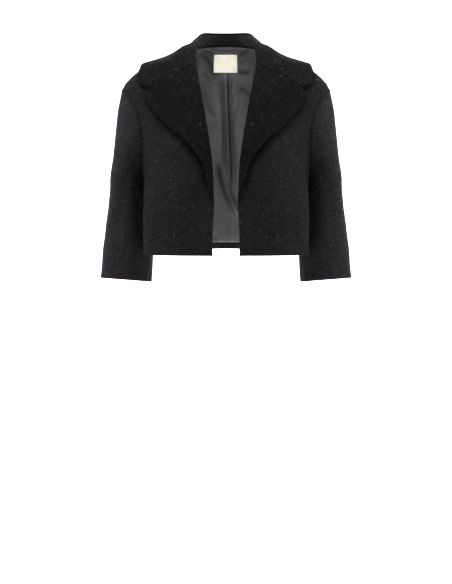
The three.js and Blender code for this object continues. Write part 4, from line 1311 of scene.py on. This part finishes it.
for side, mirror in sides:
    clothPiece(f"sleeve_{side}_cloth", f"sleeve_{side}", sleeveForm, (0, body["wall"]),
               mirror=mirror, closed=True, coarse=(6, 5), rim=0.5, cloths=[litSleeveCloth, satinCloth],
               inside=sleeveInside)
print("sleeves made")

liningGrid = makeLining()[:, ::-1]
clothPiece("lining_back_cloth", "lining_back", liningGrid, halves(lining["wall"]),
           coarse=(5, 10), rim=0.3, cloths=[satinCloth], pressed=liningShade(liningGrid))
labelGrid = makeLabel()
clothPiece("label_cloth", "label", labelGrid, halves(label["wall"]), coarse=(4, 4),
           rim=0.25, cloths=[tapeCloth])
print("lining and label made")

stitches = {"spacing": 0.0021, "length": 0.00075, "thickness": 0.00022, "lift": 0.5}


# Puts a small oblong stitch at even steps along a line
def stitchTree(material):
    tree = bpy.data.node_groups.new("stitch row", "GeometryNodeTree")
    tree.interface.new_socket(name="Line", in_out="INPUT", socket_type="NodeSocketGeometry")
    for name in ("Spacing", "Length", "Thickness"):
        tree.interface.new_socket(name=name, in_out="INPUT", socket_type="NodeSocketFloat")
    tree.interface.new_socket(name="Stitches", in_out="OUTPUT", socket_type="NodeSocketGeometry")
    given = tree.nodes.new("NodeGroupInput")
    result = tree.nodes.new("NodeGroupOutput")

    def node(kind, settings=None, inputs=None):
        made = tree.nodes.new(kind)
        for name, value in (settings or {}).items():
            setattr(made, name, value)
        for name, value in (inputs or {}).items():
            if isinstance(value, bpy.types.NodeSocket):
                tree.links.new(value, made.inputs[name])
            else:
                made.inputs[name].default_value = value
        return made

    curve = node("GeometryNodeMeshToCurve", None, {"Mesh": given.outputs["Line"]})
    points = node("GeometryNodeCurveToPoints", {"mode": "LENGTH"},
                  {"Curve": curve.outputs["Curve"], "Length": given.outputs["Spacing"]})
    ball = node("GeometryNodeMeshIcoSphere", None, {"Radius": 1.0, "Subdivisions": 2})
    thick = given.outputs["Thickness"]
    size = node("ShaderNodeCombineXYZ", None, {"X": thick, "Y": thick, "Z": given.outputs["Length"]})
    placed = node("GeometryNodeInstanceOnPoints", None, {
        "Points": points.outputs["Points"], "Instance": ball.outputs["Mesh"],
        "Rotation": points.outputs["Rotation"], "Scale": size.outputs["Vector"]})
    real = node("GeometryNodeRealizeInstances", None, {"Geometry": placed.outputs["Instances"]})
    smooth = node("GeometryNodeSetShadeSmooth", None, {"Geometry": real.outputs["Geometry"]})
    coloured = node("GeometryNodeSetMaterial", None,
                    {"Geometry": smooth.outputs["Geometry"], "Material": material})
    tree.links.new(coloured.outputs["Geometry"], result.inputs["Stitches"])
    return tree


def makeStitches(line, name):
    mesh = bpy.data.meshes.new(name)
    count = len(line)
    mesh.from_pydata((line * mm).tolist(), [(k, (k + 1) % count) for k in range(count)], [])
    source = bpy.data.objects.new(name + "_line", mesh)
    bpy.context.collection.objects.link(source)
    tree = stitchTree(threadCloth)
    modifier = source.modifiers.new("stitches", "NODES")
    modifier.node_group = tree
    for item in tree.interface.items_tree:
        if item.in_out == "INPUT" and item.name.lower() in stitches:
            modifier[item.identifier] = stitches[item.name.lower()]
    graph = bpy.context.evaluated_depsgraph_get()
    made = bpy.data.meshes.new_from_object(source.evaluated_get(graph))
    made.name = name
    bpy.data.objects.remove(source)
    piece = bpy.data.objects.new(name, made)
    bpy.context.collection.objects.link(piece)
    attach(piece, "root")
    return piece


labelOut = gridNormals(labelGrid, False)
onLabel = labelGrid + labelOut * np.sign((labelOut[..., 1:2]) * -1) * stitches["lift"]
ring = onLabel[1:-1, 1:-1]
seamLine = np.concatenate([ring[0], ring[1:, -1], ring[-1, -2::-1], ring[-2:0:-1, 0]])
makeStitches(seamLine, "label_stitches")
print("stitches made")

studio = {
    "floor": -1.15,
    "wallY": 3.0,
    "curve": 1.2,  # radius where the floor turns up into the wall
    "reach": 6.0,
    "halfWidth": 7.0,
    "light": (1.0, 0.99, 0.985),
    "world": 0.08,
    "camera": (0, -3.5, -0.5078),
    "lens": 103.7,
    "sensor": 36,
    "lights": [  # name, place, aim, size, power
        ("key", (-0.75, -1.35, 2.5), (0, 0, -0.25), (0.7, 0.5), 112),
        ("fill", (0.95, -1.4, 2.4), (0, 0, -0.25), (0.8, 0.5), 88),
        ("front", (0, -3.9, 0.3), (0, 0, -0.25), (2.2, 1.4), 34),
        ("side left", (-2.5, -2.1, 0.0), (-0.22, 0, -0.35), (0.8, 1.2), 42),
        ("side right", (2.5, -2.1, 0.0), (0.22, 0, -0.35), (0.8, 1.2), 42),
        ("top", (0, -0.3, 2.2), (0, 0, -0.25), (2.0, 1.2), 16),
        ("backdrop left", (-2.8, 0.4, 1.6), (0, 3.0, -0.2), (1.5, 2.5), 330),
        ("backdrop right", (2.8, 0.4, 1.6), (0, 3.0, -0.2), (1.5, 2.5), 330),
    ],
}


# A pale floor that curves up into a wall
def makeBackdrop():
    curve, wallY = studio["curve"], studio["wallY"]
    profile = [(-studio["reach"], 0.0), (wallY - curve, 0.0)]
    for k in range(1, 17):
        turn = k / 16 * math.pi / 2
        profile.append((wallY - curve + curve * math.sin(turn), curve - curve * math.cos(turn)))
    profile.append((wallY, studio["reach"]))
    ends = (-studio["halfWidth"], studio["halfWidth"])
    points = [(x, y, studio["floor"] + z) for x in ends for y, z in profile]
    count = len(profile)
    faces = [(k, k + count, k + count + 1, k + 1) for k in range(count - 1)]
    mesh = bpy.data.meshes.new("backdrop")
    mesh.from_pydata(points, [], faces)
    mesh.polygons.foreach_set("use_smooth", [True] * len(faces))
    backdrop = bpy.data.objects.new("backdrop", mesh)
    bpy.context.collection.objects.link(backdrop)
    material = bpy.data.materials.new("backdrop paper")
    material.use_nodes = True
    tree = material.node_tree
    shader = tree.nodes["Principled BSDF"]
    shader.inputs["Roughness"].default_value = 1.0
    shader.inputs["Specular IOR Level"].default_value = 0.0
    place = Field(tree, tree.nodes.new("ShaderNodeTexCoord").outputs["Object"])
    grain = place.make("ShaderNodeTexNoise", None, {"Vector": place, "Scale": 40.0})
    connect(shader, grain.colours((0.9, 0.9, 0.9, 1), (0.93, 0.93, 0.93, 1)), "Base Color")
    mesh.materials.append(material)


def areaLight(name, at, towards, size, power):
    data = bpy.data.lights.new(name, "AREA")
    data.shape = "RECTANGLE"
    data.size, data.size_y = size
    data.energy = power
    data.color = studio["light"]
    light = bpy.data.objects.new(name, data)
    light.location = at
    light.rotation_euler = (Vector(towards) - Vector(at)).to_track_quat("-Z", "Y").to_euler()
    bpy.context.collection.objects.link(light)


makeBackdrop()
for settings in studio["lights"]:
    areaLight(*settings)

world = bpy.data.worlds.new("studio")
world.use_nodes = True
background = world.node_tree.nodes["Background"]
background.inputs["Color"].default_value = (1, 1, 1, 1)
background.inputs["Strength"].default_value = studio["world"]
bpy.context.scene.world = world
bpy.context.scene.view_settings.view_transform = "Standard"

cameraData = bpy.data.cameras.new("camera")
cameraData.lens = studio["lens"]
cameraData.sensor_width = studio["sensor"]
cameraData.clip_end = 50
camera = bpy.data.objects.new("camera", cameraData)
camera.location = studio["camera"]
camera.rotation_euler = (math.pi / 2, 0, 0)
bpy.context.collection.objects.link(camera)
bpy.context.scene.camera = camera
print("studio made")
